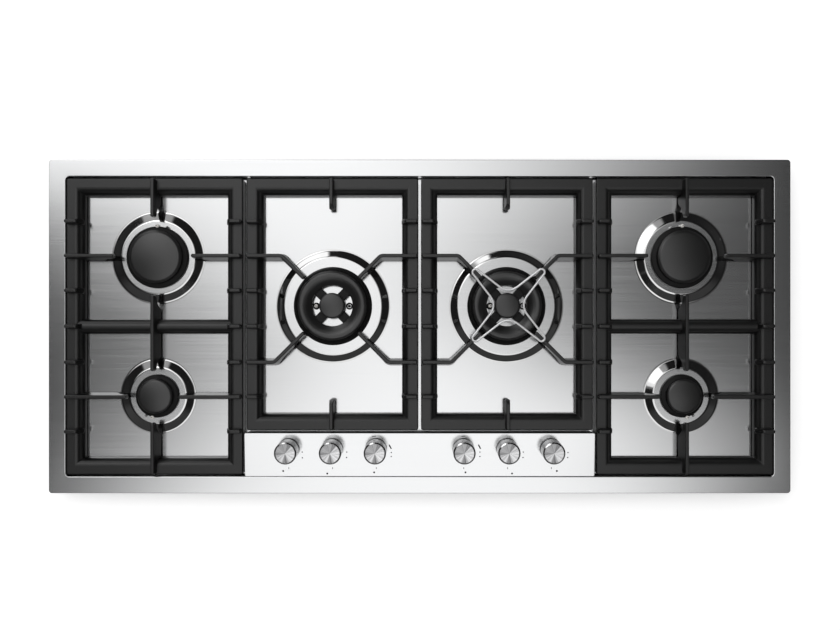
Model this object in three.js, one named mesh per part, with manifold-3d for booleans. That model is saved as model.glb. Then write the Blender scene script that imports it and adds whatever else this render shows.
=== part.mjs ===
// Built-in gas hob with six burners, in millimetres: X to the right, Y to the back, Z up from
// the underside of the tray. A pressed steel top with a deep well carries cast pan supports,
// burners with lift-off heads and caps, and a sloping control panel with push-and-turn knobs.
import * as THREE from 'three';
import { mergeVertices } from 'three/addons/utils/BufferGeometryUtils.js';
import Module from 'manifold-3d';

const wasm = await Module();
wasm.setup();

// ---- Driving dimensions ----

const GAP = 0.3; // between pieces that touch
const RUNNING_GAP = 0.5; // round a piece that turns in a hole
const SHEET = 1.2; // pressed steel

// Pressed top: a flat rim with a turned-down lip round a deep well.
const HOB_WIDTH = 1156;
const HOB_DEPTH = 520;
const HOB_CORNER = 5;
const RIM_TOP = 62;
const RIM_LIP = 7;
const RIM_WIDTH = 24.5;
const WELL_SINK = 23;
const WELL_CORNER = 7;
const PAD_RISE = 3;

// Tray and seal under the top.
const TRAY_SHEET = 1;
const SEAL_WIDTH = 18;
const SEAL_PROUD = 1; // below the lip
const POCKET_SIZE = 78; // recess in the tray's rear right corner, round the gas inlet
const POCKET_HEIGHT = 20;
const VENT_LENGTH = 60;
const VENT_WIDTH = 5;
const VENT_PITCH = 24;
const VENT_COUNT = 4;

// Sloping control panel, a cover over an upstand in the well's front edge.
const PANEL_CLEAR = 3.2; // from the outer supports
const PANEL_DEPTH = 69.7;
const PANEL_TILT = THREE.MathUtils.degToRad(4.5);
const PANEL_EDGE = 1;
const UPSTAND = 12;
const SPINDLE_HOLE = 5;

// Knobs and taps, measured along each tap's tilted axis from the panel's face.
const KNOB_SETBACK = 44.5; // from the panel's front edge
const KNOB_RADIUS = 17;
const KNOB_HEIGHT = 31.5;
const KNOB_STANDOFF = 3.5;
const KNOB_TRAVEL = 2.8;
const KNOB_CHAMFER = 1.3;
const SPINDLE_RADIUS = 3;
const SPINDLE_FLAT = 2;
const SPINDLE_RISE = 26;
const TAP_TOP = -14;
const TAP_BOTTOM = -44;
const TAP_RADIUS = 12;
const TAP_WALL = 5.5;
const TAP_OUTLET = -36; // height of the outlet boss
const TAP_CAP = 5; // thickness of the body over its chamber
const TAP_FLOOR = 3;
const TAP_SHOULDER = 3; // how much narrower the tap's neck is
const PLUG_TOP = -25;
const PLUG_TAPER = 1;
const PLUG_CLEAR = 1; // under a spindle that is pushed in
const SPINDLE_FOOT = -33;
const OUTLET_REACH = 20;
const OUTLET_RADIUS = 5;
const OUTLET_ROOT = 2; // into the body

// Gas rail, its pipe to the inlet and the supply tubes.
const RAIL_SIZE = 15;
const RAIL_OVERHANG = 26; // past the last tap
const PIPE_RADIUS = 5.5;
const PIPE_INSET = 30; // from the tray's side to the pipe that runs back
const PIPE_RAMP = 30; // length over which it climbs
const PIPE_CLEAR = 2; // over the tray's pocket
const INLET_RADIUS = 10.5;
const INLET_BORE = 6;
const INLET_CLEAR = 1.5;
const INLET_END = 2;
const NUT_RADIUS = 15;
const NUT_HEIGHT = 9;
const NUT_DROP = 2; // under the pocket's top
const TUBE_RADIUS = 3;
const TUBE_LOW = 18; // height of the lowest lane of tubes
const TUBE_LANE = 7; // from one lane up to the next
const TUBE_SIDESTEP = 45; // from an outer burner's axis to its tube
const TUBE_RUN = 7; // straight out of the tap
const TUBE_CROSSING = 14; // from the panel's rear to the nearest tube that runs across
const CROSSING_PITCH = 12;
const TUBE_BITE = 2; // into the stem

// Burners: the radii of each kind, and how far its fingers' tips stay from its axis.
const RAPID = { head: 48.7, cap: 41.5, padOuter: 72, padInner: 58.5, reach: 60, facets: 16 };
const SEMI = { head: 34, cap: 27, padOuter: 58.5, padInner: 45, reach: 40, facets: 12 };
const DUAL = { head: 56.6, cap: 54.2, padOuter: 88.5, padInner: 77.8, reach: 59.5, facets: 20 };
const DUAL_SHIFT = 0.75; // outwards from the middle of its support
const DUAL_SETBACK = 2.35; // forwards from the middle of its support
const DUAL_BASE = 61.8;
const DUAL_OPENING = 32; // inner radius of the ring cap
const DUAL_CAP = 20; // centre cap
const DUAL_SPOKE = 14.5;
const DUAL_SEAT = 5; // top of the fixed base, above the pad
const BASE_CREST = 8.2;
const BASE_CREST_WIDTH = 2;
const ARM_DROP = 2.5; // under the crowns
const GUTTER = 3.5; // floor between the crowns, above the head's underside
const RING_WALL = 2; // from the ring cap's opening to the inner side of its crown
const SKIRT_HEIGHT = 5.5;
const SKIRT_RISE = 2; // up to the crown
const THROAT_DROP = 1; // inside the crown, below the skirt
const CROWN_TOP = 14.5; // above the pad
const CROWN_WALL = 4;
const CAP_OVERHANG = 1;
const CAP_TOP = 21;
const CAP_LIP = 1.8;
const CAP_EDGE = 2.4;
const SPIGOT_TAPER = 0.5;
const RING_EDGE = 4; // slope round the ring cap's outside
const RING_EDGE_DROP = 3;
const RING_ROLL = 9; // slope down to its opening
const RING_SAG = 1;
const RING_MOUTH = 0.8;
const PORT_WIDTH = 2.4;
const PORT_DEPTH = 3.4;
const STEM_RADIUS = 16;
const STEM_DROP = 12;
const STEM_CLEAR = 1.5;
const CUP_WALL = 5;
const CUP_DEPTH = 24;
const SENSOR_OFFSET = 0.6; // from a head's edge to the axes of its electrodes
const SPARK_RADIUS = 3;
const PROBE_RADIUS = 2.4;
const SENSOR_DROP = 19;
const SENSOR_CLEAR = 0.9;
const SPARK_SHOULDER = 6.5; // heights above the pad
const SPARK_NECK = 8;
const SPARK_TOP = 12.5;
const PROBE_SHOULDER = 5.5;
const PROBE_NECK = 6.1;
const PROBE_EDGE = 10.5;
const PROBE_TOP = 11.5;
const PROBE_TIP = 1.7; // radius
const BRACKET_WIDTH = 12;
const BRACKET_THICKNESS = 2;

// Cast pan supports.
const SUPPORT_GAP = 4.7; // from the well's front and rear walls
const SUPPORT_SIDE = 2.8; // from its side walls
const SUPPORT_FRONT = 4; // from the control panel
const SUPPORT_SPLIT = 5.5; // between an outer support and its neighbour
const CENTRE_SPLIT = 4.4; // between the two centre supports
const OUTER_SUPPORT_SHARE = 0.2485; // of the well's width
const BAR_WIDTH = 25.4;
const BAR_FLAT = 14;
const BAR_CLEAR = 2; // under the bar
const BAR_EDGE = 1.5;
const BAR_CORNER = 3;
const BAR_FALL = 0.62; // of its height, down to its inner side
const CROSSBAR_WIDTH = 22.6;
const CREST_START = 0.6; // of its height
const FOOT_SIZE = 12;
const FOOT_SINK = 1; // into the bar
const FINGER_RISE = 14.2; // above the bar
const FINGER_WIDTH = 5.5;
const FINGER_DRAFT = Math.tan(THREE.MathUtils.degToRad(5));
const FINGER_INSET = 2.4; // from the bar's outer edge
const STUB_LENGTH = 18.3;
const STUB_SLOPE = 4; // at its inner end
const CENTRE_STUB = 40.6;
const ROW_FIRST = 55.6; // from the hob's middle to the first row of fingers and stubs
const ROW_END = 72.7; // from the last row to the well's wall
const ROOT_DEPTH = 6; // into the bar
const ROOT_INSET = 5; // from its inner side
const GUSSET_CLEAR = 1; // from a finger's deep part to the pads
const GUSSET_RUN = 22; // from its end to the tip
const TIP_DEPTH = 12;
const TIP_RUN = 14;
const TIP_FALL = 4;
const TIP_EDGE = 1.5;
const BEND_LAP = 1; // between the two runs of a bent finger
const BEND_FALL = 4; // where the underside starts to rise behind the bend
const BEND_RISE = 6;
const BEND_RUN = 12;

// Wire trivet over the right centre burner.
const WIRE_RADIUS = 1.4;
const TRIVET_TIP = 78; // radius of the hairpin ends
const TRIVET_VALLEY = 23;
const HAIRPIN = 3.6; // half the width of a hairpin
const VALLEY_TURN = 0.26; // half a valley's arc, in radians
const VALLEY_RISE = 2.2; // from a valley's middle to the ends of its arc

// Facets round a circle.
const ROUND = 16;
const HOLE_ROUND = 10;
const SMALL_ROUND = 8;
const TINY_ROUND = 6;

// ---- Places worked out from them ----

const WELL_WIDTH = HOB_WIDTH - 2 * RIM_WIDTH;
const WELL_DEPTH = HOB_DEPTH - 2 * RIM_WIDTH;
const WELL_FRONT = -WELL_DEPTH / 2;
const FLOOR = RIM_TOP - WELL_SINK;
const PAD_TOP = FLOOR + PAD_RISE;
const PANEL_REAR = WELL_FRONT + PANEL_DEPTH;
const OUTER_SUPPORT_WIDTH = OUTER_SUPPORT_SHARE * WELL_WIDTH;
const OUTER_X = WELL_WIDTH / 2 - SUPPORT_SIDE - OUTER_SUPPORT_WIDTH / 2;
const CENTRE_EDGE = OUTER_X - OUTER_SUPPORT_WIDTH / 2 - SUPPORT_SPLIT; // of a centre support
const CENTRE_X = (CENTRE_EDGE + CENTRE_SPLIT / 2) / 2 + DUAL_SHIFT;
const CENTRE_Y = (PANEL_REAR + WELL_DEPTH / 2) / 2 - DUAL_SETBACK;
const ROW_PITCH = (WELL_DEPTH / 2 - ROW_END - ROW_FIRST) / 2;
const ROW_SECOND = ROW_FIRST + ROW_PITCH; // the outer burners stand on these rows
const PANEL_WIDTH = 2 * (OUTER_X - OUTER_SUPPORT_WIDTH / 2 - PANEL_CLEAR);
const KNOB_PITCH = PANEL_WIDTH / 8;
const KNOB_Y = WELL_FRONT + KNOB_SETBACK;
const KNOB_Z = RIM_TOP + KNOB_SETBACK * Math.tan(PANEL_TILT);
const TRAY_WIDTH = WELL_WIDTH + 2 * (SHEET + GAP + TRAY_SHEET);
const TRAY_DEPTH = WELL_DEPTH + 2 * (SHEET + GAP + TRAY_SHEET);
const TRAY_TOP = RIM_TOP - SHEET - GAP;
const STEM_HOLE = STEM_RADIUS + STEM_CLEAR;
const SENSOR_HOLE = SPARK_RADIUS + SENSOR_CLEAR;
const GUSSET = PAD_TOP + GUSSET_CLEAR - RIM_TOP; // underside of a finger's deep part
const BAR_TOP = WELL_SINK - BAR_CLEAR; // height of the supports' bars
const PAD_UNDER = PAD_TOP - SHEET - GAP; // highest that a piece under a pad may reach
const CLEAR = 5; // how far a cutting solid passes through what it cuts

// Each burner with its axis, its tap's number from the left, the directions of its spark plug and
// flame probe in degrees, and the lane that its supply tube keeps to.
const burner = (name, x, y, size, tap, spark, probe, lane) => (
  { name, x, y, size, tap, spark, probe, lane });
const BURNERS = [
  burner('left_rear', -OUTER_X, ROW_SECOND, RAPID, 0, 90, 71, 1),
  burner('left_front', -OUTER_X, -ROW_SECOND, SEMI, 1, -103, -119, 2),
  burner('centre_left', -CENTRE_X, CENTRE_Y, DUAL, 2, 180, 0, 0),
  burner('centre_right', CENTRE_X, CENTRE_Y, DUAL, 3, 180, 0, 0),
  burner('right_front', OUTER_X, -ROW_SECOND, SEMI, 4, -77, -61, 2),
  burner('right_rear', OUTER_X, ROW_SECOND, RAPID, 5, 90, 109, 1),
];

// ---- Making solids ----

// A closed three.js geometry as a solid, turned the right way out.
function solid(geometry) {
  const bare = new THREE.BufferGeometry();
  bare.setAttribute('position', geometry.getAttribute('position').clone());
  if (geometry.index) bare.setIndex(geometry.index.clone());
  const merged = mergeVertices(bare, 1e-4);
  const vertProperties = new Float32Array(merged.getAttribute('position').array);
  const triVerts = new Uint32Array(merged.index.array);
  const result = new wasm.Manifold(new wasm.Mesh({ numProp: 3, vertProperties, triVerts }));
  if (result.volume() > 0) return result;
  triVerts.reverse();
  return new wasm.Manifold(new wasm.Mesh({ numProp: 3, vertProperties, triVerts }));
}

function join(parts) {
  return parts.reduce((whole, part) => whole.add(part));
}

function cut(body, tools) {
  return tools.reduce((whole, tool) => whole.subtract(tool), body);
}

// A box between two corners.
function block(low, high) {
  const size = high.map((value, axis) => value - low[axis]);
  const centre = high.map((value, axis) => (value + low[axis]) / 2);
  return solid(new THREE.BoxGeometry(...size).translate(...centre));
}

// A flat outline raised between two heights.
function prism(shape, bottom, top) {
  const settings = { depth: top - bottom, bevelEnabled: false, curveSegments: 2 };
  return solid(new THREE.ExtrudeGeometry(shape, settings).translate(0, 0, bottom));
}

// A rectangle about the origin with round corners.
function roundedRectangle(width, depth, radius) {
  const x = width / 2 - radius;
  const y = depth / 2 - radius;
  const shape = new THREE.Shape();
  shape.absarc(x, y, radius, 0, Math.PI / 2);
  shape.absarc(-x, y, radius, Math.PI / 2, Math.PI);
  shape.absarc(-x, -y, radius, Math.PI, 1.5 * Math.PI);
  shape.absarc(x, -y, radius, 1.5 * Math.PI, 2 * Math.PI);
  return shape;
}

// A profile of [radius, height] points turned about a vertical axis. It starts and ends on the
// axis, or else it is closed into a ring.
function turned(profile, segments, x = 0, y = 0, z = 0) {
  const points = profile.map(([radius, height]) => new THREE.Vector2(radius, height));
  const ring = profile[0][0] > 0 || profile[profile.length - 1][0] > 0;
  if (ring) points.push(points[0].clone());
  const geometry = new THREE.LatheGeometry(points, segments);
  return solid(geometry.rotateX(Math.PI / 2).translate(x, y, z));
}

function cylinder(radius, bottom, top, segments, x = 0, y = 0) {
  return turned([[0, bottom], [radius, bottom], [radius, top], [0, top]], segments, x, y);
}

// Skins a row of rings, each a list of points, into a closed solid. The last ring meets the
// first one, or else both ends are closed by flat fans.
function loft(rings, endless) {
  const count = rings[0].length;
  const positions = rings.flat().flatMap((point) => point.toArray());
  const faces = [];
  const spans = endless ? rings.length : rings.length - 1;
  for (let ring = 0; ring < spans; ring += 1) {
    const next = (ring + 1) % rings.length;
    for (let side = 0; side < count; side += 1) {
      const after = (side + 1) % count;
      faces.push(ring * count + side, next * count + side, next * count + after);
      faces.push(ring * count + side, next * count + after, ring * count + after);
    }
  }
  const last = (rings.length - 1) * count;
  for (let side = 1; side < count - 1 && !endless; side += 1) {
    faces.push(0, side, side + 1);
    faces.push(last, last + side + 1, last + side);
  }
  const geometry = new THREE.BufferGeometry();
  geometry.setAttribute('position', new THREE.Float32BufferAttribute(positions, 3));
  geometry.setIndex(faces);
  return solid(geometry);
}

// Points round a circle that stands square to a direction.
function circle(centre, direction, radius, sides) {
  const up = Math.abs(direction.z) > 0.9 ? new THREE.Vector3(0, 1, 0) : new THREE.Vector3(0, 0, 1);
  const across = new THREE.Vector3().crossVectors(up, direction).normalize();
  const upright = new THREE.Vector3().crossVectors(direction, across);
  return Array.from({ length: sides }, (unused, step) => {
    const turn = ((step + 0.5) * 2 * Math.PI) / sides;
    return centre.clone()
      .addScaledVector(across, radius * Math.cos(turn))
      .addScaledVector(upright, radius * Math.sin(turn));
  });
}

// A bent tube through corner points, each corner cut by two stations so that it bends.
function pipe(corners, radius, sides) {
  const points = corners.map((corner) => new THREE.Vector3(...corner));
  const stations = [points[0]];
  for (let index = 1; index < points.length - 1; index += 1) {
    const back = points[index - 1].clone().sub(points[index]).normalize();
    const on = points[index + 1].clone().sub(points[index]).normalize();
    stations.push(points[index].clone().addScaledVector(back, 2 * radius));
    stations.push(points[index].clone().addScaledVector(on, 2 * radius));
  }
  stations.push(points[points.length - 1]);
  const rings = stations.map((station, index) => {
    const before = stations[Math.max(index - 1, 0)];
    const after = stations[Math.min(index + 1, stations.length - 1)];
    return circle(station, after.clone().sub(before).normalize(), radius, sides);
  });
  return loft(rings, false);
}

// ---- Pressed top, panel, tray and seal ----

// A block that fills the control panel's notch, less insets on its sides and rear and in front.
function notchBlock(inset, front, bottom, top) {
  const side = PANEL_WIDTH / 2 - inset;
  return block([-side, WELL_FRONT + front, bottom], [side, PANEL_REAR - inset, top]);
}

function burnerPad({ x, y, size }) {
  const root = FLOOR - SHEET / 2;
  const profile = [[0, root], [size.padOuter, root], [size.padOuter, FLOOR],
    [size.padInner, PAD_TOP], [0, PAD_TOP]];
  return turned(profile, size.facets, x, y);
}

// The hollow that pressing leaves under a pad.
function padHollow({ x, y, size }) {
  return turned([[0, FLOOR - SHEET - CLEAR], [size.padOuter - SHEET, FLOOR - SHEET - CLEAR],
    [size.padOuter - SHEET, FLOOR - SHEET], [size.padInner - SHEET / 2, PAD_TOP - SHEET],
    [0, PAD_TOP - SHEET]], size.facets, x, y);
}

// Where a burner's spark plug or flame probe stands.
function sensorPlace({ x, y, size }, degrees) {
  const single = size.head + SENSOR_OFFSET;
  const between = (DUAL_CAP + DUAL_OPENING) / 2;
  const radius = size === DUAL ? between : single;
  const turn = THREE.MathUtils.degToRad(degrees);
  return [x + radius * Math.cos(turn), y + radius * Math.sin(turn)];
}

function burnerHoles(burner) {
  const bottom = FLOOR - SHEET - CLEAR;
  const top = PAD_TOP + CLEAR;
  const sensors = [burner.spark, burner.probe].map((degrees) => (
    cylinder(SENSOR_HOLE, bottom, top, TINY_ROUND, ...sensorPlace(burner, degrees))));
  return [cylinder(STEM_HOLE, bottom, top, HOLE_ROUND, burner.x, burner.y), ...sensors];
}

function hobTop() {
  const outline = roundedRectangle(HOB_WIDTH, HOB_DEPTH, HOB_CORNER);
  const inside = roundedRectangle(HOB_WIDTH - 2 * SHEET, HOB_DEPTH - 2 * SHEET, HOB_CORNER - SHEET);
  const rim = prism(outline, RIM_TOP - RIM_LIP, RIM_TOP)
    .subtract(prism(inside, RIM_TOP - RIM_LIP - CLEAR, RIM_TOP - SHEET));
  const tubOutline = roundedRectangle(
    WELL_WIDTH + 2 * SHEET, WELL_DEPTH + 2 * SHEET, WELL_CORNER + SHEET);
  const tub = prism(tubOutline, FLOOR - SHEET, RIM_TOP);
  const skirt = SHEET + GAP;
  const well = prism(roundedRectangle(WELL_WIDTH, WELL_DEPTH, WELL_CORNER), FLOOR, RIM_TOP + CLEAR)
    .subtract(notchBlock(skirt, skirt + GAP, FLOOR - CLEAR, FLOOR + UPSTAND));
  const opening = notchBlock(skirt + SHEET, 0, FLOOR - SHEET - CLEAR, RIM_TOP + CLEAR);
  const top = join([cut(rim.add(tub), [well, opening]), ...BURNERS.map(burnerPad)]);
  return cut(top, [...BURNERS.map(padHollow), ...BURNERS.flatMap(burnerHoles)]);
}

// Cross-section of the panel in Y and Z, inside its skin by an inset.
function panelSection(inset, bottom) {
  const rise = Math.tan(PANEL_TILT);
  const front = WELL_FRONT + GAP + inset;
  const rear = PANEL_REAR - inset;
  const drop = inset / Math.cos(PANEL_TILT);
  const shape = new THREE.Shape();
  shape.moveTo(front, bottom);
  shape.lineTo(rear, bottom);
  shape.lineTo(rear, RIM_TOP + (rear - WELL_FRONT) * rise - drop);
  shape.lineTo(front, RIM_TOP + (front - WELL_FRONT) * rise - drop);
  shape.closePath();
  return shape;
}

// Stands a Y and Z section up and runs it along X, about the middle.
function runAlongX(shape, length, edge) {
  const settings = {
    depth: length - 2 * edge,
    bevelEnabled: edge > 0,
    bevelThickness: edge,
    bevelSize: edge,
    bevelOffset: -edge,
    bevelSegments: 1,
  };
  const geometry = new THREE.ExtrudeGeometry(shape, settings).translate(0, 0, edge - length / 2);
  return solid(geometry.rotateX(Math.PI / 2).rotateZ(Math.PI / 2));
}

function controlPanel() {
  const cover = runAlongX(panelSection(0, FLOOR + GAP), PANEL_WIDTH, PANEL_EDGE);
  const inside = runAlongX(panelSection(SHEET, FLOOR - CLEAR), PANEL_WIDTH - 2 * SHEET, 0);
  const holes = BURNERS.map(({ tap }) => solid(
    new THREE.CylinderGeometry(SPINDLE_HOLE, SPINDLE_HOLE, 2 * CLEAR, SMALL_ROUND)
      .rotateX(Math.PI / 2 + PANEL_TILT).translate(tapX(tap), KNOB_Y, KNOB_Z)));
  return cut(cover, [inside, ...holes]);
}

function bottomTray() {
  const x = TRAY_WIDTH / 2;
  const y = TRAY_DEPTH / 2;
  const pocket = (wall) => block(
    [x - POCKET_SIZE - wall, y - POCKET_SIZE - wall, -CLEAR],
    [x + CLEAR, y + CLEAR, POCKET_HEIGHT + wall]);
  const outside = block([-x, -y, 0], [x, y, TRAY_TOP]).subtract(pocket(0));
  const inside = block(
    [TRAY_SHEET - x, TRAY_SHEET - y, TRAY_SHEET],
    [x - TRAY_SHEET, y - TRAY_SHEET, TRAY_TOP + CLEAR]).subtract(pocket(TRAY_SHEET));
  const [inletX, inletY] = inletPlace();
  const inletHole = cylinder(
    INLET_RADIUS + INLET_CLEAR, POCKET_HEIGHT - CLEAR, POCKET_HEIGHT + CLEAR, ROUND, inletX, inletY);
  const vents = [-OUTER_X / 2, OUTER_X / 2].flatMap((centre) => (
    Array.from({ length: VENT_COUNT }, (unused, index) => {
      const left = centre + (index - (VENT_COUNT - 1) / 2) * VENT_PITCH - VENT_WIDTH / 2;
      return block([left, -VENT_LENGTH / 2, -CLEAR], [left + VENT_WIDTH, VENT_LENGTH / 2, CLEAR]);
    })));
  return cut(outside, [inside, inletHole, ...vents]);
}

function worktopSeal() {
  const bottom = RIM_TOP - RIM_LIP - SEAL_PROUD;
  const x = TRAY_WIDTH / 2 + GAP;
  const y = TRAY_DEPTH / 2 + GAP;
  const inside = block([-x, -y, bottom - CLEAR], [x, y, TRAY_TOP + CLEAR]);
  const outer = [x + SEAL_WIDTH, y + SEAL_WIDTH];
  return block([-outer[0], -outer[1], bottom], [...outer, TRAY_TOP]).subtract(inside);
}

// ---- Gas rail, taps and knobs ----

// The taps stand evenly in each half of the panel, with twice the pitch across its middle.
function tapX(tap) {
  const half = BURNERS.length / 2;
  return (tap < half ? tap - half : tap - half + 1) * KNOB_PITCH;
}

function inletPlace() {
  return [TRAY_WIDTH / 2 - PIPE_INSET, TRAY_DEPTH / 2 - POCKET_SIZE / 2];
}

// A point given along a tap's tilted frame, in the hob's own frame.
function fromTap(tap, y, z) {
  const sine = Math.sin(PANEL_TILT);
  const cosine = Math.cos(PANEL_TILT);
  return [tapX(tap), KNOB_Y + y * cosine - z * sine, KNOB_Z + y * sine + z * cosine];
}

function gasManifold() {
  const below = TAP_BOTTOM - GAP - RAIL_SIZE / 2;
  const reach = tapX(BURNERS.length - 1) + RAIL_OVERHANG;
  const rail = solid(new THREE.BoxGeometry(2 * reach, RAIL_SIZE, RAIL_SIZE)
    .translate(0, 0, below).rotateX(PANEL_TILT).translate(0, KNOB_Y, KNOB_Z));
  const [, railY, railZ] = fromTap(0, 0, below);
  const [inletX, inletY] = inletPlace();
  const overPocket = POCKET_HEIGHT + TRAY_SHEET + PIPE_RADIUS + PIPE_CLEAR;
  const step = TRAY_DEPTH / 2 - POCKET_SIZE - 5 * PIPE_RADIUS;
  const run = pipe([
    [reach - CLEAR, railY, railZ],
    [inletX, railY, railZ],
    [inletX, step - PIPE_RAMP, railZ],
    [inletX, step, overPocket],
    [inletX, inletY, overPocket],
    [inletX, inletY, INLET_END + NUT_HEIGHT],
  ], PIPE_RADIUS, TINY_ROUND);
  const nutTop = POCKET_HEIGHT - NUT_DROP;
  const nut = cylinder(NUT_RADIUS, nutTop - NUT_HEIGHT, nutTop, 6, inletX, inletY);
  const thread = cylinder(INLET_RADIUS, INLET_END, nutTop, ROUND, inletX, inletY);
  const bore = cylinder(INLET_BORE, INLET_END - CLEAR, INLET_END + NUT_HEIGHT, ROUND,
    inletX, inletY);
  return join([rail, run, nut, thread]).subtract(bore);
}

function tapBody() {
  const bore = SPINDLE_RADIUS + RUNNING_GAP;
  const chamber = TAP_RADIUS - TAP_WALL;
  const neck = TAP_RADIUS - TAP_SHOULDER;
  const under = TAP_TOP - TAP_CAP;
  const floor = TAP_BOTTOM + TAP_FLOOR;
  const shell = turned([
    [bore, TAP_TOP], [neck, TAP_TOP], [TAP_RADIUS, under], [TAP_RADIUS, TAP_BOTTOM],
    [0, TAP_BOTTOM], [0, floor], [chamber - PLUG_TAPER, floor], [chamber, under], [bore, under],
  ], SMALL_ROUND);
  const length = OUTLET_REACH - TAP_RADIUS + OUTLET_ROOT;
  const outlet = solid(
    new THREE.CylinderGeometry(OUTLET_RADIUS, OUTLET_RADIUS, length, TINY_ROUND)
      .translate(0, OUTLET_REACH - length / 2, TAP_OUTLET));
  return shell.add(outlet);
}

// Tapered plug that turns in the tap and that the spindle slides down into.
function tapPlug() {
  const foot = TAP_BOTTOM + TAP_FLOOR + GAP;
  const height = TAP_TOP - TAP_CAP - foot;
  const narrow = TAP_RADIUS - TAP_WALL - PLUG_TAPER - 2 * RUNNING_GAP;
  const wide = narrow + PLUG_TAPER * (PLUG_TOP - foot) / height;
  const bore = SPINDLE_RADIUS + GAP;
  const seat = SPINDLE_FOOT - KNOB_TRAVEL - PLUG_CLEAR;
  return turned([
    [0, foot], [narrow, foot], [wide, PLUG_TOP], [bore, PLUG_TOP], [bore, seat], [0, seat],
  ], SMALL_ROUND);
}

// Spindle with a flat that keys it into the knob.
function tapSpindle() {
  const round = cylinder(SPINDLE_RADIUS, SPINDLE_FOOT, SPINDLE_RISE, SMALL_ROUND);
  const side = 2 * SPINDLE_RADIUS;
  const flat = block([-side, SPINDLE_FLAT, KNOB_STANDOFF], [side, side, SPINDLE_RISE + CLEAR]);
  return round.subtract(flat);
}

function knob() {
  const bottom = KNOB_STANDOFF;
  const top = bottom + KNOB_HEIGHT;
  const bore = SPINDLE_RADIUS + GAP;
  const ceiling = SPINDLE_RISE + GAP;
  return turned([
    [bore, bottom], [KNOB_RADIUS, bottom], [KNOB_RADIUS, top - KNOB_CHAMFER],
    [KNOB_RADIUS - KNOB_CHAMFER, top], [0, top], [0, ceiling], [bore, ceiling],
  ], ROUND);
}

// ---- Burners ----

// Radial slots through the top of a crown's wall, each in the middle of a facet of it.
function portSlots(inner, outer, facets, every, x, y) {
  const bottom = PAD_TOP + CROWN_TOP - PORT_DEPTH;
  return Array.from({ length: facets / every }, (unused, index) => (
    solid(new THREE.BoxGeometry(outer - inner, PORT_WIDTH, PORT_DEPTH + CLEAR)
      .translate((outer + inner) / 2, 0, bottom + (PORT_DEPTH + CLEAR) / 2)
      .rotateZ(((every * index + 0.5) * 2 * Math.PI) / facets).translate(x, y, 0))));
}

function sensorNotches(burner) {
  return [burner.spark, burner.probe].map((degrees) => (
    cylinder(SENSOR_HOLE, PAD_TOP - CLEAR, PAD_TOP + CAP_TOP, TINY_ROUND,
      ...sensorPlace(burner, degrees))));
}

function singleHead(burner) {
  const { x, y, size } = burner;
  const crown = size.cap - CAP_OVERHANG;
  const throat = STEM_RADIUS / 2;
  const floor = SKIRT_HEIGHT - THROAT_DROP;
  const casting = turned([
    [throat, -STEM_DROP], [STEM_RADIUS, -STEM_DROP], [STEM_RADIUS, GAP], [size.head, GAP],
    [size.head, SKIRT_HEIGHT], [crown, SKIRT_HEIGHT + SKIRT_RISE], [crown, CROWN_TOP],
    [crown - CROWN_WALL, CROWN_TOP], [crown - CROWN_WALL, floor], [throat, floor],
  ], size.facets, x, y, PAD_TOP);
  const slots = portSlots(crown - 1.5 * CROWN_WALL, crown + PORT_DEPTH, size.facets, 4, x, y);
  return cut(casting, [...slots, ...sensorNotches(burner)]);
}

// A cap of one radius with a spigot that sits inside its crown.
function flatCap(radius, facets, x, y) {
  const seat = CROWN_TOP + GAP;
  const spigot = radius - CAP_OVERHANG - CROWN_WALL - GAP;
  return turned([
    [0, seat - CAP_LIP], [spigot - SPIGOT_TAPER, seat - CAP_LIP], [spigot, seat], [radius, seat],
    [radius, CAP_TOP - CAP_EDGE], [radius - CAP_EDGE, CAP_TOP], [0, CAP_TOP],
  ], facets, x, y, PAD_TOP);
}

// Diagonal arms between the inner and outer crowns.
function spokes(inner, outer, bottom, top, x, y) {
  return [45, 135, 225, 315].map((degrees) => solid(
    new THREE.BoxGeometry(outer - inner, DUAL_SPOKE, top - bottom)
      .translate((outer + inner) / 2, 0, PAD_TOP + (top + bottom) / 2)
      .rotateZ(THREE.MathUtils.degToRad(degrees)).translate(x, y, 0)));
}

function dualBase({ x, y, size }) {
  const hub = DUAL_CAP - CAP_OVERHANG;
  const inner = DUAL_OPENING + RING_WALL;
  const ring = turned([
    [inner, GAP], [DUAL_BASE, GAP], [size.head + BASE_CREST_WIDTH, BASE_CREST],
    [size.head + RUNNING_GAP, DUAL_SEAT], [inner, DUAL_SEAT],
  ], size.facets, x, y, PAD_TOP);
  const foot = -CUP_DEPTH - SHEET - PAD_RISE;
  const stem = turned([
    [0, foot], [STEM_RADIUS, foot], [STEM_RADIUS, GAP], [hub, GAP], [hub, DUAL_SEAT],
    [0, DUAL_SEAT],
  ], HOLE_ROUND, x, y, PAD_TOP);
  const arms = spokes(hub - RING_WALL, inner + RING_WALL / 2, GAP, DUAL_SEAT, x, y);
  return join([ring, stem, ...arms]);
}

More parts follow.
